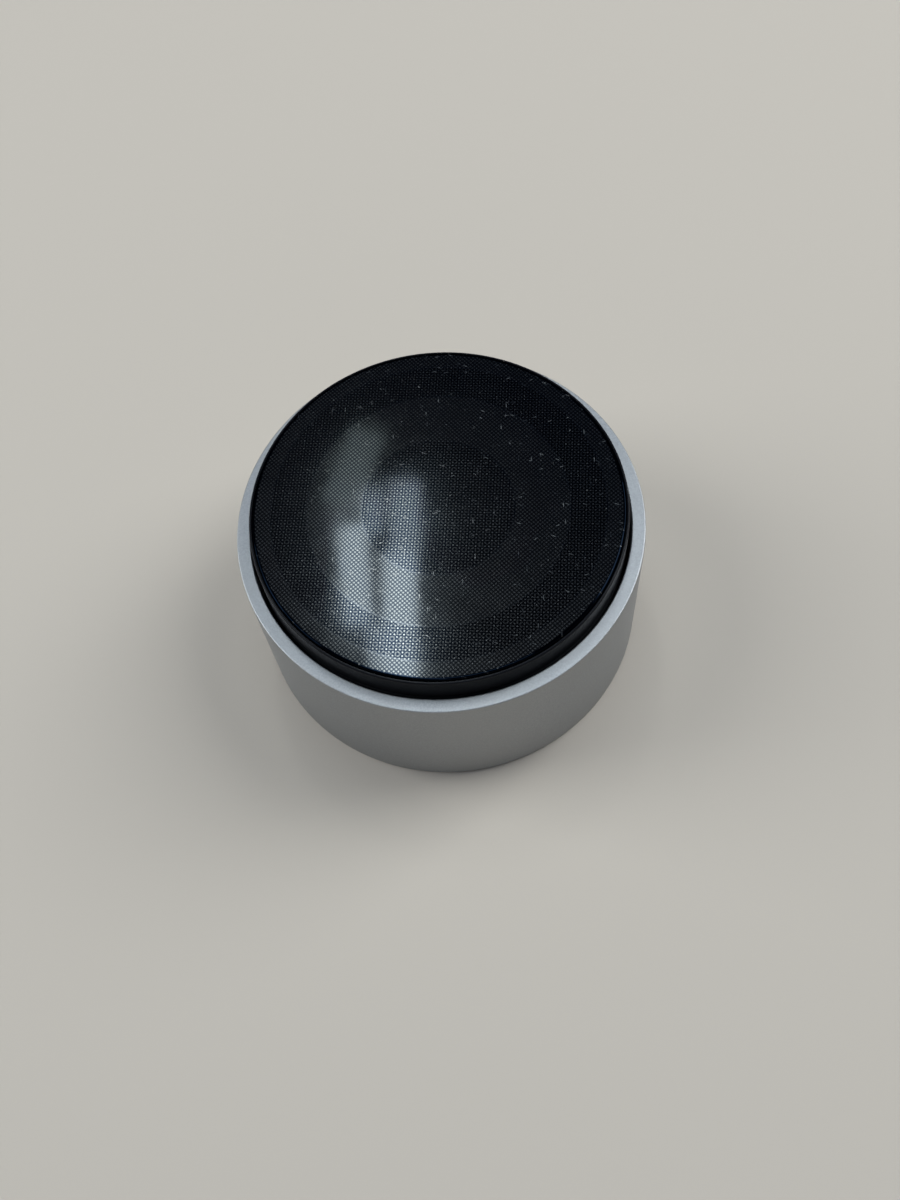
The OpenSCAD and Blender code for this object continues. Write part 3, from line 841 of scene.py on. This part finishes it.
    def _ragged(self, graph: Graph, flat: Socket) -> Socket:
        """Let the coordinates wander a little, so that specks lose their round shape.

        Args:
            graph: node tree of the material.
            flat: coordinates on the pad.

        Returns:
            The new coordinates.
        """
        wander = graph.add("ShaderNodeTexNoise")
        graph.feed(wander, {"Vector": flat, "Scale": 1.0 / self.rag, "Detail": 1.0})
        return graph.vector("MULTIPLY_ADD", wander.outputs["Color"], self.rag_reach, flat).outputs[0]

    def _speck(self, graph: Graph, ragged: Socket, size: float, radius: float, share: float) -> Socket:
        """Scatter specks.

        Args:
            graph: node tree of the material.
            ragged: coordinates on the pad that wander.
            size: distance from speck to speck.
            radius: radius of the largest.
            share: how much the densest covers.

        Returns:
            How much the specks cover.
        """
        specks = graph.cells(ragged, size, space="2D")
        rare = graph.math("POWER", graph.dot(specks.outputs["Color"], Axis.X.value), self.speck_rarity)
        pick = graph.dot(specks.outputs["Color"], Axis.Z.value)
        small = graph.raised(self.speck_least, pick, 1.0 - self.speck_least)
        near = graph.math("DIVIDE", specks.outputs["Distance"], small)
        spot = graph.span(near, radius / size, self.speck_core * radius / size)
        return graph.times(spot, graph.times(rare, share))

    def _fibre(self, graph: Graph, turn: float, size: float) -> Socket:
        """Scatter short fibres.

        Args:
            graph: node tree of the material.
            turn: direction of the fibres in radians.
            size: distance from fibre to fibre.

        Returns:
            How much the fibres cover.
        """
        shift, rise = self.fibre_shift
        stretched = graph.scaled(graph.placed((shift * size, rise, 0.0), turn), self.fibre_stretch)
        strand = graph.cells(stretched, self.fibre_cell * size, space="2D")
        pick = graph.dot(strand.outputs["Color"], Axis.Y.value)
        hair = graph.span(strand.outputs["Distance"], *self.fibre_edge)
        return graph.times(hair, graph.span(pick, *self.fibre_pick))


ALUMINIUM = BlastedAluminium("dial_blasted_aluminium", (0.33, 0.342, 0.355), 0.52)
LID_BLACK = MouldedPlastic("lid_satin_black", (0.004, 0.0045, 0.006), 0.45, texture=0.3, shine=0.07,
                           polish=0.25, polish_from=29.4)
CHASSIS_BLACK = MouldedPlastic("chassis_textured_black", (0.022, 0.023, 0.026), 0.55, texture=0.32,
                               depth=0.02)
HUB_GREY = MouldedPlastic("hub_glass_filled_grey", (0.035, 0.036, 0.040), 0.6, texture=0.4, depth=0.015)
CODE_BLACK = MouldedPlastic("code_ring_matt_black", (0.018, 0.018, 0.020), 0.7, texture=0.2)
CHIP_BLACK = MouldedPlastic("chip_moulded_black", (0.020, 0.020, 0.022), 0.65, texture=0.12)
SWITCH_GREY = MouldedPlastic("switch_moulded_grey", (0.050, 0.050, 0.055), 0.5, texture=0.15)
PLUNGER_CREAM = MouldedPlastic("plunger_moulded_cream", (0.68, 0.65, 0.55), 0.4, texture=0.2)
BUTTON_GREY = MouldedPlastic("button_satin_grey", (0.55, 0.57, 0.59), 0.32, texture=0.2, depth=0.004)
LIGHT_CAST = MouldedPlastic("light_cast_phosphor", (0.85, 0.80, 0.52), 0.3, texture=0.15)
SPINDLE_METAL = TurnedMetal("spindle_turned_aluminium", (0.62, 0.64, 0.67), 0.3)
RACE_STEEL = TurnedMetal("race_ground_steel", (0.66, 0.67, 0.69), 0.2, pitch=0.12)
BALL_STEEL = PlatedMetal("ball_polished_steel", (0.76, 0.77, 0.79), 0.1, stain=0.93)
CAGE_BRASS = PlatedMetal("cage_stamped_brass", (0.78, 0.57, 0.24), 0.3, stain=0.7)
SPRING_STEEL = PlatedMetal("spring_drawn_wire", (0.60, 0.61, 0.63), 0.28)
CLIP_STEEL = PlatedMetal("clip_phosphated_steel", (0.24, 0.25, 0.27), 0.45)
SCREW_STEEL = PlatedMetal("screw_zinc_plate", (0.62, 0.63, 0.66), 0.3)
SHIELD_TIN = PlatedMetal("shield_tinned_sheet", (0.66, 0.66, 0.66), 0.35, mottle=0.8)
CAN_STEEL = PlatedMetal("haptic_drawn_can", (0.62, 0.63, 0.65), 0.3)
WEIGHT_METAL = PlatedMetal("haptic_sintered_weight", (0.30, 0.30, 0.31), 0.5, mottle=0.5)
CONTACT_NICKEL = PlatedMetal("contact_nickel_plate", (0.72, 0.69, 0.60), 0.24)
DISC_STEEL = PlatedMetal("striker_plain_steel", (0.52, 0.53, 0.55), 0.38)
MAGNET_NICKEL = PlatedMetal("magnet_nickel_plate", (0.72, 0.72, 0.73), 0.16, stain=0.9)
CELL_STEEL = PlatedMetal("cell_nickel_steel", (0.68, 0.68, 0.67), 0.24, stain=0.85)
BOARD_GREEN = SolderMask("board_green_mask", (0.012, 0.075, 0.032), 0.35)
PIPE_CLEAR = ClearPlastic("light_pipe_clear", (0.86, 0.90, 0.93), 0.12)
PAD_RUBBER = MeshPad("pad_smoked_mesh", (0.0015, 0.003, 0.006), 0.065)
FILM_MESH = MeshPad("film_printed_mesh", (0.02, 0.022, 0.026), 0.45, glint=(0.5, 0.5, 0.48))


def settled() -> bpy.types.Object:
    """Return the piece in work, at the origin, with its place and turn put into its mesh."""
    bpy.ops.object.transform_apply(location=True, rotation=True, scale=True)
    return bpy.context.object


def close_editing() -> None:
    """Turn the faces of the piece in work outwards, close the editing and smooth the round faces."""
    bpy.ops.mesh.select_all(action="SELECT")
    bpy.ops.mesh.normals_make_consistent(inside=False)
    bpy.ops.object.mode_set(mode="OBJECT")
    bpy.ops.object.shade_smooth_by_angle(angle=SMOOTH)


def turned_copy(piece: bpy.types.Object) -> bpy.types.Object:
    """Copy a piece and turn it half round about the upright axis.

    Args:
        piece: piece to copy.

    Returns:
        The copy, with a mesh of its own.
    """
    bpy.ops.object.select_all(action="DESELECT")
    piece.select_set(True)
    bpy.context.view_layer.objects.active = piece
    bpy.ops.object.duplicate(linked=False)
    bpy.ops.transform.rotate(value=math.pi, orient_axis="Z", center_override=(0.0, 0.0, 0.0))
    return settled()


class Mould:
    """One mesh piece in work: a rod along X that operators shape in edit mode. Sizes are in millimetres."""

    def __init__(self, radius: float, start: float, stop: float, row: float, height: float) -> None:
        """Add the rod and open it for editing.

        Args:
            radius: radius of the rod.
            start: place of its lower end along X.
            stop: place of its higher end along X.
            row: place of its axis along Y.
            height: place of its axis along Z.
        """
        self.axis = Vector((0.0, row, height)) * MM
        middle = self.axis + Vector((0.5 * (start + stop) * MM, 0.0, 0.0))
        bpy.ops.object.select_all(action="DESELECT")
        bpy.ops.mesh.primitive_cylinder_add(vertices=SIDES, radius=radius * MM, depth=(stop - start) * MM,
                                            location=middle, rotation=(0.0, QUARTER_TURN, 0.0))
        self.piece = settled()
        bpy.ops.object.mode_set(mode="EDIT")

    def pick(self, kind: str, test: Callable[[float, float], bool]) -> None:
        """Select faces or edges all of whose corners pass a test.

        Args:
            kind: FACE or EDGE.
            test: takes a corner's place along X and its distance from the axis.
        """
        bpy.ops.mesh.select_mode(type=kind)
        bpy.ops.mesh.select_all(action="DESELECT")
        mesh = bmesh.from_edit_mesh(self.piece.data)
        for part in mesh.faces if kind == "FACE" else mesh.edges:
            arms = [(v.co - self.axis) * PER_MM for v in part.verts]
            if all(test(arm.x, math.hypot(arm.y, arm.z)) for arm in arms):
                part.select_set(True)
        bmesh.update_edit_mesh(self.piece.data)

    def pick_end(self, place: float) -> None:
        """Select the face across the rod's end."""
        self.pick("FACE", lambda x, r: abs(x - place) < NEAR)

    def inset(self, width: float) -> None:
        """Draw a smaller outline inside the selected face."""
        bpy.ops.mesh.inset(thickness=width * MM)

    def push(self, way: float) -> None:
        """Extrude the selected face along X."""
        bpy.ops.mesh.extrude_region_move(TRANSFORM_OT_translate={"value": (way * MM, 0.0, 0.0)})

    def round_edge(self, place: float, radius: float, size: float, steps: int = 4) -> None:
        """Round the circle of edges at a place along X and a distance from the axis."""
        self.pick("EDGE", lambda x, r: abs(x - place) < NEAR and abs(r - radius) < NEAR)
        bpy.ops.mesh.bevel(offset=size * MM, segments=steps, affect="EDGES")

    def done(self) -> bpy.types.Object:
        """Close the editing and return the piece."""
        close_editing()
        return self.piece


@dataclass
class Cell:
    """A cylindrical cell along X: shrunk sleeve, plus cap and minus base. Sizes are in millimetres."""

    radius: float = 5.25
    row: float = 5.3
    height: float = 21.5
    minus_end: float = -21.62
    plus_end: float = 21.98
    nub_end: float = 22.88
    nub_radius: float = 1.9
    lip: float = 0.95
    fold: float = 0.3
    lip_round: float = 0.3
    rounding: float = 0.45
    clearance: float = 0.04
    thickness: float = 1.0
    shoulder: float = 0.22
    cap_rim: float = 0.3
    cap_top: float = 0.7
    base_rim: float = 0.2
    base_groove: float = 0.15
    edge: float = 0.2
    fine_edge: float = 0.4
    fine_steps: int = 3

    @property
    def wide(self) -> float:
        """Return the radius of the discs that the sleeve's lips hold."""
        return self.radius - self.lip - self.clearance

    def build(self) -> list[bpy.types.Object]:
        """Return the sleeve, the plus cap and the minus base."""
        return [self._sleeve(), self._plus_cap(), self._minus_base()]

    def _sleeve(self) -> bpy.types.Object:
        """Shrink the sleeve round the can and over the edges of its ends.

        Returns:
            The sleeve.
        """
        mould = Mould(self.radius, self.minus_end, self.plus_end, self.row, self.height)
        for place, way in ((self.minus_end, self.fold), (self.plus_end, -self.fold)):
            mould.pick_end(place)
            mould.inset(self.lip)
            mould.push(way)
            mould.round_edge(place, self.radius, self.rounding)
            mould.round_edge(place, self.radius - self.lip, self.lip_round * self.fold, self.fine_steps)
        return mould.done()

    def _plus_cap(self) -> bpy.types.Object:
        """Press the plus end: a disc, a shoulder step and the nub.

        Returns:
            The plus cap.
        """
        face = self.plus_end - 0.5 * self.fold
        mould = Mould(self.wide, face - self.thickness, face, self.row, self.height)
        mould.pick_end(face)
        mould.inset(self.cap_rim * self.wide)
        mould.push(-self.shoulder)
        mould.inset(self.cap_top * self.wide - self.nub_radius)
        mould.push(self.nub_end - face + self.shoulder)
        mould.round_edge(self.nub_end, self.nub_radius, self.edge)
        mould.round_edge(face, self.cap_top * self.wide, self.fine_edge * self.edge, self.fine_steps)
        return mould.done()

    def _minus_base(self) -> bpy.types.Object:
        """Press the minus end: a disc with a shallow ring groove and a flat middle.

        Returns:
            The minus base.
        """
        face = self.minus_end + 0.5 * self.fold
        groove = (1.0 - self.base_rim) * self.wide
        mould = Mould(self.wide, face, face + self.thickness, self.row, self.height)
        mould.pick_end(face)
        mould.inset(self.base_rim * self.wide)
        mould.push(self.shoulder)
        mould.inset(self.base_groove * self.wide)
        mould.push(-self.shoulder - 0.5 * self.fold)
        mould.round_edge(self.minus_end, groove - self.base_groove * self.wide, self.edge)
        mould.round_edge(face, groove, self.fine_edge * self.edge, self.fine_steps)
        return mould.done()


@dataclass
class Spring:
    """A spring that stands for a CAD node. Sizes are in millimetres."""

    node: str
    joint: str
    low: float
    high: float
    travel: float

    def build(self) -> bpy.types.Object:
        """Return the spring's mesh piece; each kind of spring has its own."""
        raise NotImplementedError

    def fit(self) -> None:
        """Build the spring, cover it, hang it on the base and hide its CAD node."""
        piece = self.build()
        piece.name = piece.data.name = f"{self.node}_wound"
        SPRING_STEEL.cover(piece)
        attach(piece, "base")
        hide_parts(self.node)
        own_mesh(piece)
        LOG.info("%s: %s", piece.name, SPRING_STEEL.name)


@dataclass
class CoilSpring(Spring):
    """A coil of round wire about the upright axis."""

    radius: float
    wire: float
    turns: float

    def build(self) -> bpy.types.Object:
        """Screw the coil up from the wire's round section and close its ends.

        Returns:
            The coil.
        """
        half = 0.5 * self.wire
        bpy.ops.object.select_all(action="DESELECT")
        bpy.ops.mesh.primitive_circle_add(
            vertices=WIRE_SIDES, radius=half * MM, rotation=(QUARTER_TURN, 0.0, 0.0),
            location=(self.radius * MM, 0.0, (self.low + half) * MM))
        piece = settled()
        coil = piece.modifiers.new("coil", "SCREW")
        coil.axis = "Z"
        coil.angle = TURN * self.turns
        coil.screw_offset = (self.high - self.low - self.wire) * MM
        coil.steps = coil.render_steps = round(COIL_STEPS * self.turns)
        bpy.ops.object.modifier_apply(modifier=coil.name)
        bpy.ops.object.mode_set(mode="EDIT")
        bpy.ops.mesh.select_all(action="SELECT")
        bpy.ops.mesh.fill_holes(sides=WIRE_SIDES)
        close_editing()
        return piece


@dataclass
class DishedSpring(Spring):
    """A dished ring of sheet that spreads downwards."""

    row: float
    inner: float
    outer: float
    width: float

    def build(self) -> bpy.types.Object:
        """Draw the ring out, edge by edge round its section.

        Returns:
            The ring.
        """
        axis = Vector((0.0, self.row, self.high)) * MM
        section = [(self.inner, self.high), (self.outer, self.low), (self.outer + self.width, self.low),
                   (self.inner + self.width, self.high), (self.inner, self.high)]
        bpy.ops.object.select_all(action="DESELECT")
        bpy.ops.mesh.primitive_circle_add(vertices=SIDES, radius=self.inner * MM, location=axis)
        piece = settled()
        bpy.ops.object.mode_set(mode="EDIT")
        bpy.ops.mesh.select_all(action="SELECT")
        for (radius, place), (wider, further) in zip(section, section[1:]):
            bpy.ops.mesh.extrude_edges_indiv()
            bpy.ops.transform.resize(value=(wider / radius, wider / radius, 1.0), center_override=axis)
            bpy.ops.transform.translate(value=(0.0, 0.0, (further - place) * MM))
        bpy.ops.mesh.select_all(action="SELECT")
        bpy.ops.mesh.remove_doubles(threshold=WELD * MM)
        close_editing()
        return piece


@dataclass
class Dial:
    """The knob that turns: shell, hub, screws and code ring."""

    def dress(self) -> None:
        """Put the finishes on the knob's pieces."""
        ALUMINIUM.dress("dial_shell")
        HUB_GREY.dress("dial_hub")
        SCREW_STEEL.dress("hub_screws")
        CODE_BLACK.dress("code_ring")


@dataclass
class Bearing:
    """The ball bearing between the knob and the spindle."""

    def dress(self) -> None:
        """Put the finishes on the bearing's pieces."""
        RACE_STEEL.dress("outer_race", "inner_race")
        BALL_STEEL.dress("bearing_balls")
        CAGE_BRASS.dress("bearing_cage")


@dataclass
class PressMechanism:
    """The spindle that slides in the guide plate, with its spring, clips and plunger."""

    spring: CoilSpring = field(default_factory=lambda: CoilSpring(
        "press_spring", "dial_press", low=3.82, high=9.78, travel=0.5, radius=6.2, wire=0.7, turns=3.5))

    def dress(self) -> None:
        """Put the finishes on the press mechanism's pieces and wind its spring."""
        SPINDLE_METAL.dress("spindle")
        CLIP_STEEL.dress("race_clip", "stem_clip")
        self.spring.fit()
        HUB_GREY.dress("guide_plate")
        PLUNGER_CREAM.dress("switch_plunger")


@dataclass
class Electronics:
    """The board with its chips, switches, light, sensor and haptic motor."""

    spring: DishedSpring = field(default_factory=lambda: DishedSpring(
        "haptic_spring", "buzzer_shake", low=16.97, high=18.08, travel=0.25,
        row=-18.2354, inner=1.32, outer=3.52, width=0.44))

    def dress(self) -> None:
        """Put the finishes on the electronic pieces and set the haptic motor's spring."""
        BOARD_GREEN.dress("main_board")
        SCREW_STEEL.dress("board_screws")
        CHIP_BLACK.dress("controller_chip", "radio_chip", "encoder_sensor")
        SHIELD_TIN.dress("radio_shield")
        SWITCH_GREY.dress("press_switch", "pair_switch")
        LIGHT_CAST.dress("status_led")
        PIPE_CLEAR.dress("light_pipe")
        BUTTON_GREY.dress("pair_button")
        CAN_STEEL.dress("haptic_case")
        WEIGHT_METAL.dress("haptic_weight")
        self.spring.fit()


@dataclass
class Lid:
    """The base lid with its magnets, electrode film and grip pad."""

    def dress(self) -> None:
        """Put the finishes on the lid's pieces."""
        LID_BLACK.dress("base_cover")
        MAGNET_NICKEL.dress("cover_magnets")
        FILM_MESH.dress("electrode_film")
        PAD_RUBBER.dress("grip_pad")


@dataclass
class Power:
    """The chassis with its battery bay, contacts and two cells."""

    body: str = "base"
    foil: Colour = (0.62, 0.63, 0.65)
    foil_roughness: float = 0.3
    cell: Cell = field(default_factory=Cell)

    def dress(self) -> None:
        """Put the finishes on the chassis and the contacts, and lay the cells in the bay."""
        CHASSIS_BLACK.dress("chassis")
        CONTACT_NICKEL.dress("bridge_contact", "positive_contact", "negative_contact")
        DISC_STEEL.dress("striker_discs")
        first = self.cell.build()
        second = [turned_copy(piece) for piece in first]
        for end, node, pieces in ((CellEnd.A, "battery_a", first), (CellEnd.B, "battery_b", second)):
            wrap = PrintedSleeve(f"{node}_sleeve_print", self.foil, self.foil_roughness, side=end)
            self._lay(pieces, node, wrap)

    def _lay(self, pieces: list[bpy.types.Object], node: str, wrap: PrintedSleeve) -> None:
        """Name one cell's pieces, finish them and make them ride in the base.

        Args:
            pieces: the sleeve, the plus cap and the minus base.
            node: CAD node that the pieces stand for.
            wrap: finish of the sleeve.
        """
        kinds = (("sleeve", wrap, "cell_wrap"), ("plus_cap", CELL_STEEL, "contact_nickel"),
                 ("minus_base", CELL_STEEL, "contact_nickel"))
        for piece, (kind, finish, slot) in zip(pieces, kinds):
            piece.name = f"{node}_{kind}"
            finish.cover(piece)
            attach(piece, self.body)
            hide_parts(node)
            LOG.info("%s: %s", piece.name, finish.name)


@dataclass(frozen=True)
class Softbox:
    """A rectangular studio lamp. Sizes are in metres, the slant about the upright in degrees."""

    name: str
    place: Point
    size: Range
    radiance: float
    colour: Colour = DAYLIGHT
    slant: float = 0.0
    target: Point = (0.0, 0.0, 0.0)

    def light(self) -> None:
        """Hang the lamp, aim it and turn it by its slant."""
        data = bpy.data.lights.new(self.name, "AREA")
        data.shape = "RECTANGLE"
        data.size, data.size_y = self.size
        data.energy = self.radiance * math.pi * self.size[0] * self.size[1]
        data.color = self.colour
        lamp = bpy.data.objects.new(self.name, data)
        bpy.context.scene.collection.objects.link(lamp)
        aim = Vector(self.target) - Vector(self.place)
        turn = Matrix.Rotation(math.radians(self.slant), 3, "Z") @ aim.to_track_quat("-Z", "Y").to_matrix()
        lamp.location = self.place
        lamp.rotation_euler = turn.to_euler()


def overhead(name: str, x: float, y: float, size: Range, radiance: float,
             colour: Colour = DAYLIGHT, slant: float = 0.0) -> Softbox:
    """Return a lamp that hangs at the window's height and faces straight down."""
    return Softbox(name, (x, y, PANE_HEIGHT), size, radiance, colour, slant, target=(x, y, 0.0))


@dataclass
class Studio:
    """Floor, light and camera.

    Sizes are in metres, those of the floor's pattern in millimetres, and the camera's angles in degrees.
    """

    floor_half: float = 6.0
    floor_drop: float = 0.00002
    floor_colour: Colour = (0.475, 0.43, 0.375)
    floor_light: float = 1.03
    floor_cloud: float = 300.0
    floor_roughness: float = 0.8
    lit_reach: Range = (180.0, 540.0)
    horizon: Colour = (0.68, 0.66, 0.62)
    zenith: Colour = (0.002, 0.032, 0.1)
    fade: Range = (0.25, 0.6)
    least_rise: float = 0.05
    glow: Colour = (1.15, 1.32, 1.42)
    glow_line: Range = (0.075, -0.094)
    glow_half: float = 0.037
    glow_top: float = 0.6
    glow_fade: float = 0.016
    lens: float = 38.7
    near_clip: float = 0.005
    distance: float = 0.2093
    elevation: float = 63.91
    pan: float = -0.01
    tilt: float = 63.96
    roll: float = -7.43
    lamps: list[Softbox] = field(default_factory=lambda: [
        Softbox("softbox_left", (-0.68, 0.15, 0.52), (0.45, 0.7), 4.7),
        Softbox("softbox_right", (0.58, 0.2, 0.66), (0.45, 0.7), 6.3),
        overhead("pane_right", -0.0412, 0.352, (0.027, 0.12), 19.5, slant=-5.4),
        overhead("pane_far", -0.028, 0.445, (0.025, 0.066), 11.6, slant=-5.4),
        overhead("pane_left", -0.0742, 0.3956, (0.0245, 0.094), 17.5, slant=-2.0),
        overhead("pane_low", -0.0625, 0.327, (0.0145, 0.040), 13.0, slant=2.0),
        overhead("pane_left_far", -0.055, 0.452, (0.018, 0.044), 10.4, slant=-5.4),
        overhead("pane_upper", -0.0667, 0.497, (0.032, 0.079), 3.4, PALE_GREEN, -25.0),
        overhead("softbox_top", -0.02, 0.12, (0.3, 0.25), 3.9, SKYLIGHT),
    ])

    def build(self) -> None:
        """Make the floor, the world, the lamps and the camera."""
        self._floor()
        self._world()
        for lamp in self.lamps:
            lamp.light()
        self._camera()

    def _floor(self) -> None:
        """Lay the plain pale floor, which glows like the horizon beyond the lamps' reach."""
        bpy.ops.object.select_all(action="DESELECT")
        bpy.ops.mesh.primitive_plane_add(size=2.0 * self.floor_half, location=(0.0, 0.0, -self.floor_drop))
        floor = bpy.context.object
        floor.name = "floor"
        graph = Graph("floor_pale")
        cloud = graph.noise(graph.mm, self.floor_cloud)
        lit = graph.mixed(cloud, self.floor_colour, toned(self.floor_colour, self.floor_light))
        far = graph.span(graph.length(graph.mm), *self.lit_reach)
        graph.shade(Base_Color=graph.mixed(far, lit, BLACK), Roughness=self.floor_roughness)
        graph.shade(Specular_IOR_Level=0.0, Emission_Color=(*self.horizon, 1.0), Emission_Strength=far)
        floor.data.materials.append(graph.material)

    def _world(self) -> None:
        """Paint the surroundings pale at the horizon and dim overhead, with a soft glow round the window."""
        world = bpy.data.worlds.new("studio")
        bpy.context.scene.world = world
        world.use_nodes = True
        book = NodeBook(world.node_tree)
        way = book.add("ShaderNodeTexCoord").outputs["Generated"]
        rise = book.dot(way, Axis.Z.value)
        sky = book.mixed(book.span(rise, *self.fade), self.horizon, self.zenith)
        steep = book.most(rise, self.least_rise)
        slope_x = book.math("DIVIDE", book.dot(way, Axis.X.value), steep)
        slope_y = book.math("DIVIDE", book.dot(way, Axis.Y.value), steep)
        lean, middle = self.glow_line
        aside = book.math("ABSOLUTE", book.math("SUBTRACT", slope_x, book.raised(middle, slope_y, lean)))
        across = book.most(book.math("SUBTRACT", aside, self.glow_half), 0.0)
        beyond = book.most(book.math("SUBTRACT", slope_y, self.glow_top), 0.0)
        squares = (book.math("POWER", gap, 2.0) for gap in (across, beyond))
        off = book.math("SQRT", book.math("ADD", *squares))
        halo = book.math("EXPONENT", book.math("DIVIDE", off, -self.glow_fade))
        backdrop = book.add("ShaderNodeBackground")
        book.feed(backdrop, {"Color": book.mixed(halo, sky, self.glow)})
        output = book.add("ShaderNodeOutputWorld")
        book.feed(output, {"Surface": backdrop.outputs[0]})

    def _camera(self) -> None:
        """Set the camera at the photograph's viewing angle."""
        rise = math.radians(self.elevation)
        pan, tilt, roll = (math.radians(a) for a in (self.pan, self.tilt, self.roll))
        forward = Vector((math.sin(pan) * math.cos(tilt), math.cos(pan) * math.cos(tilt), -math.sin(tilt)))
        level = Vector((math.cos(pan), -math.sin(pan), 0.0))
        upright = level.cross(forward)
        right = math.cos(roll) * level + math.sin(roll) * upright
        up = math.cos(roll) * upright - math.sin(roll) * level
        data = bpy.data.cameras.new("photo_camera")
        data.lens = self.lens
        data.clip_start = self.near_clip
        camera = bpy.data.objects.new("photo_camera", data)
        bpy.context.scene.collection.objects.link(camera)
        turn = Matrix((right, up, -forward)).transposed().to_4x4()
        place = Vector((0.0, -self.distance * math.cos(rise), self.distance * math.sin(rise)))
        camera.matrix_world = Matrix.Translation(place) @ turn
        bpy.context.scene.camera = camera


def main() -> None:
    """Build the studio and dress each sub-assembly in order."""
    logging.basicConfig(level=logging.INFO, format="%(name)s: %(message)s")
    bpy.context.scene.view_settings.view_transform = "Standard"
    Studio().build()
    for assembly in (Dial(), Bearing(), PressMechanism(), Electronics(), Power(), Lid()):
        assembly.dress()
        LOG.info("%s dressed", type(assembly).__name__)


if __name__ == "__main__":
    main()
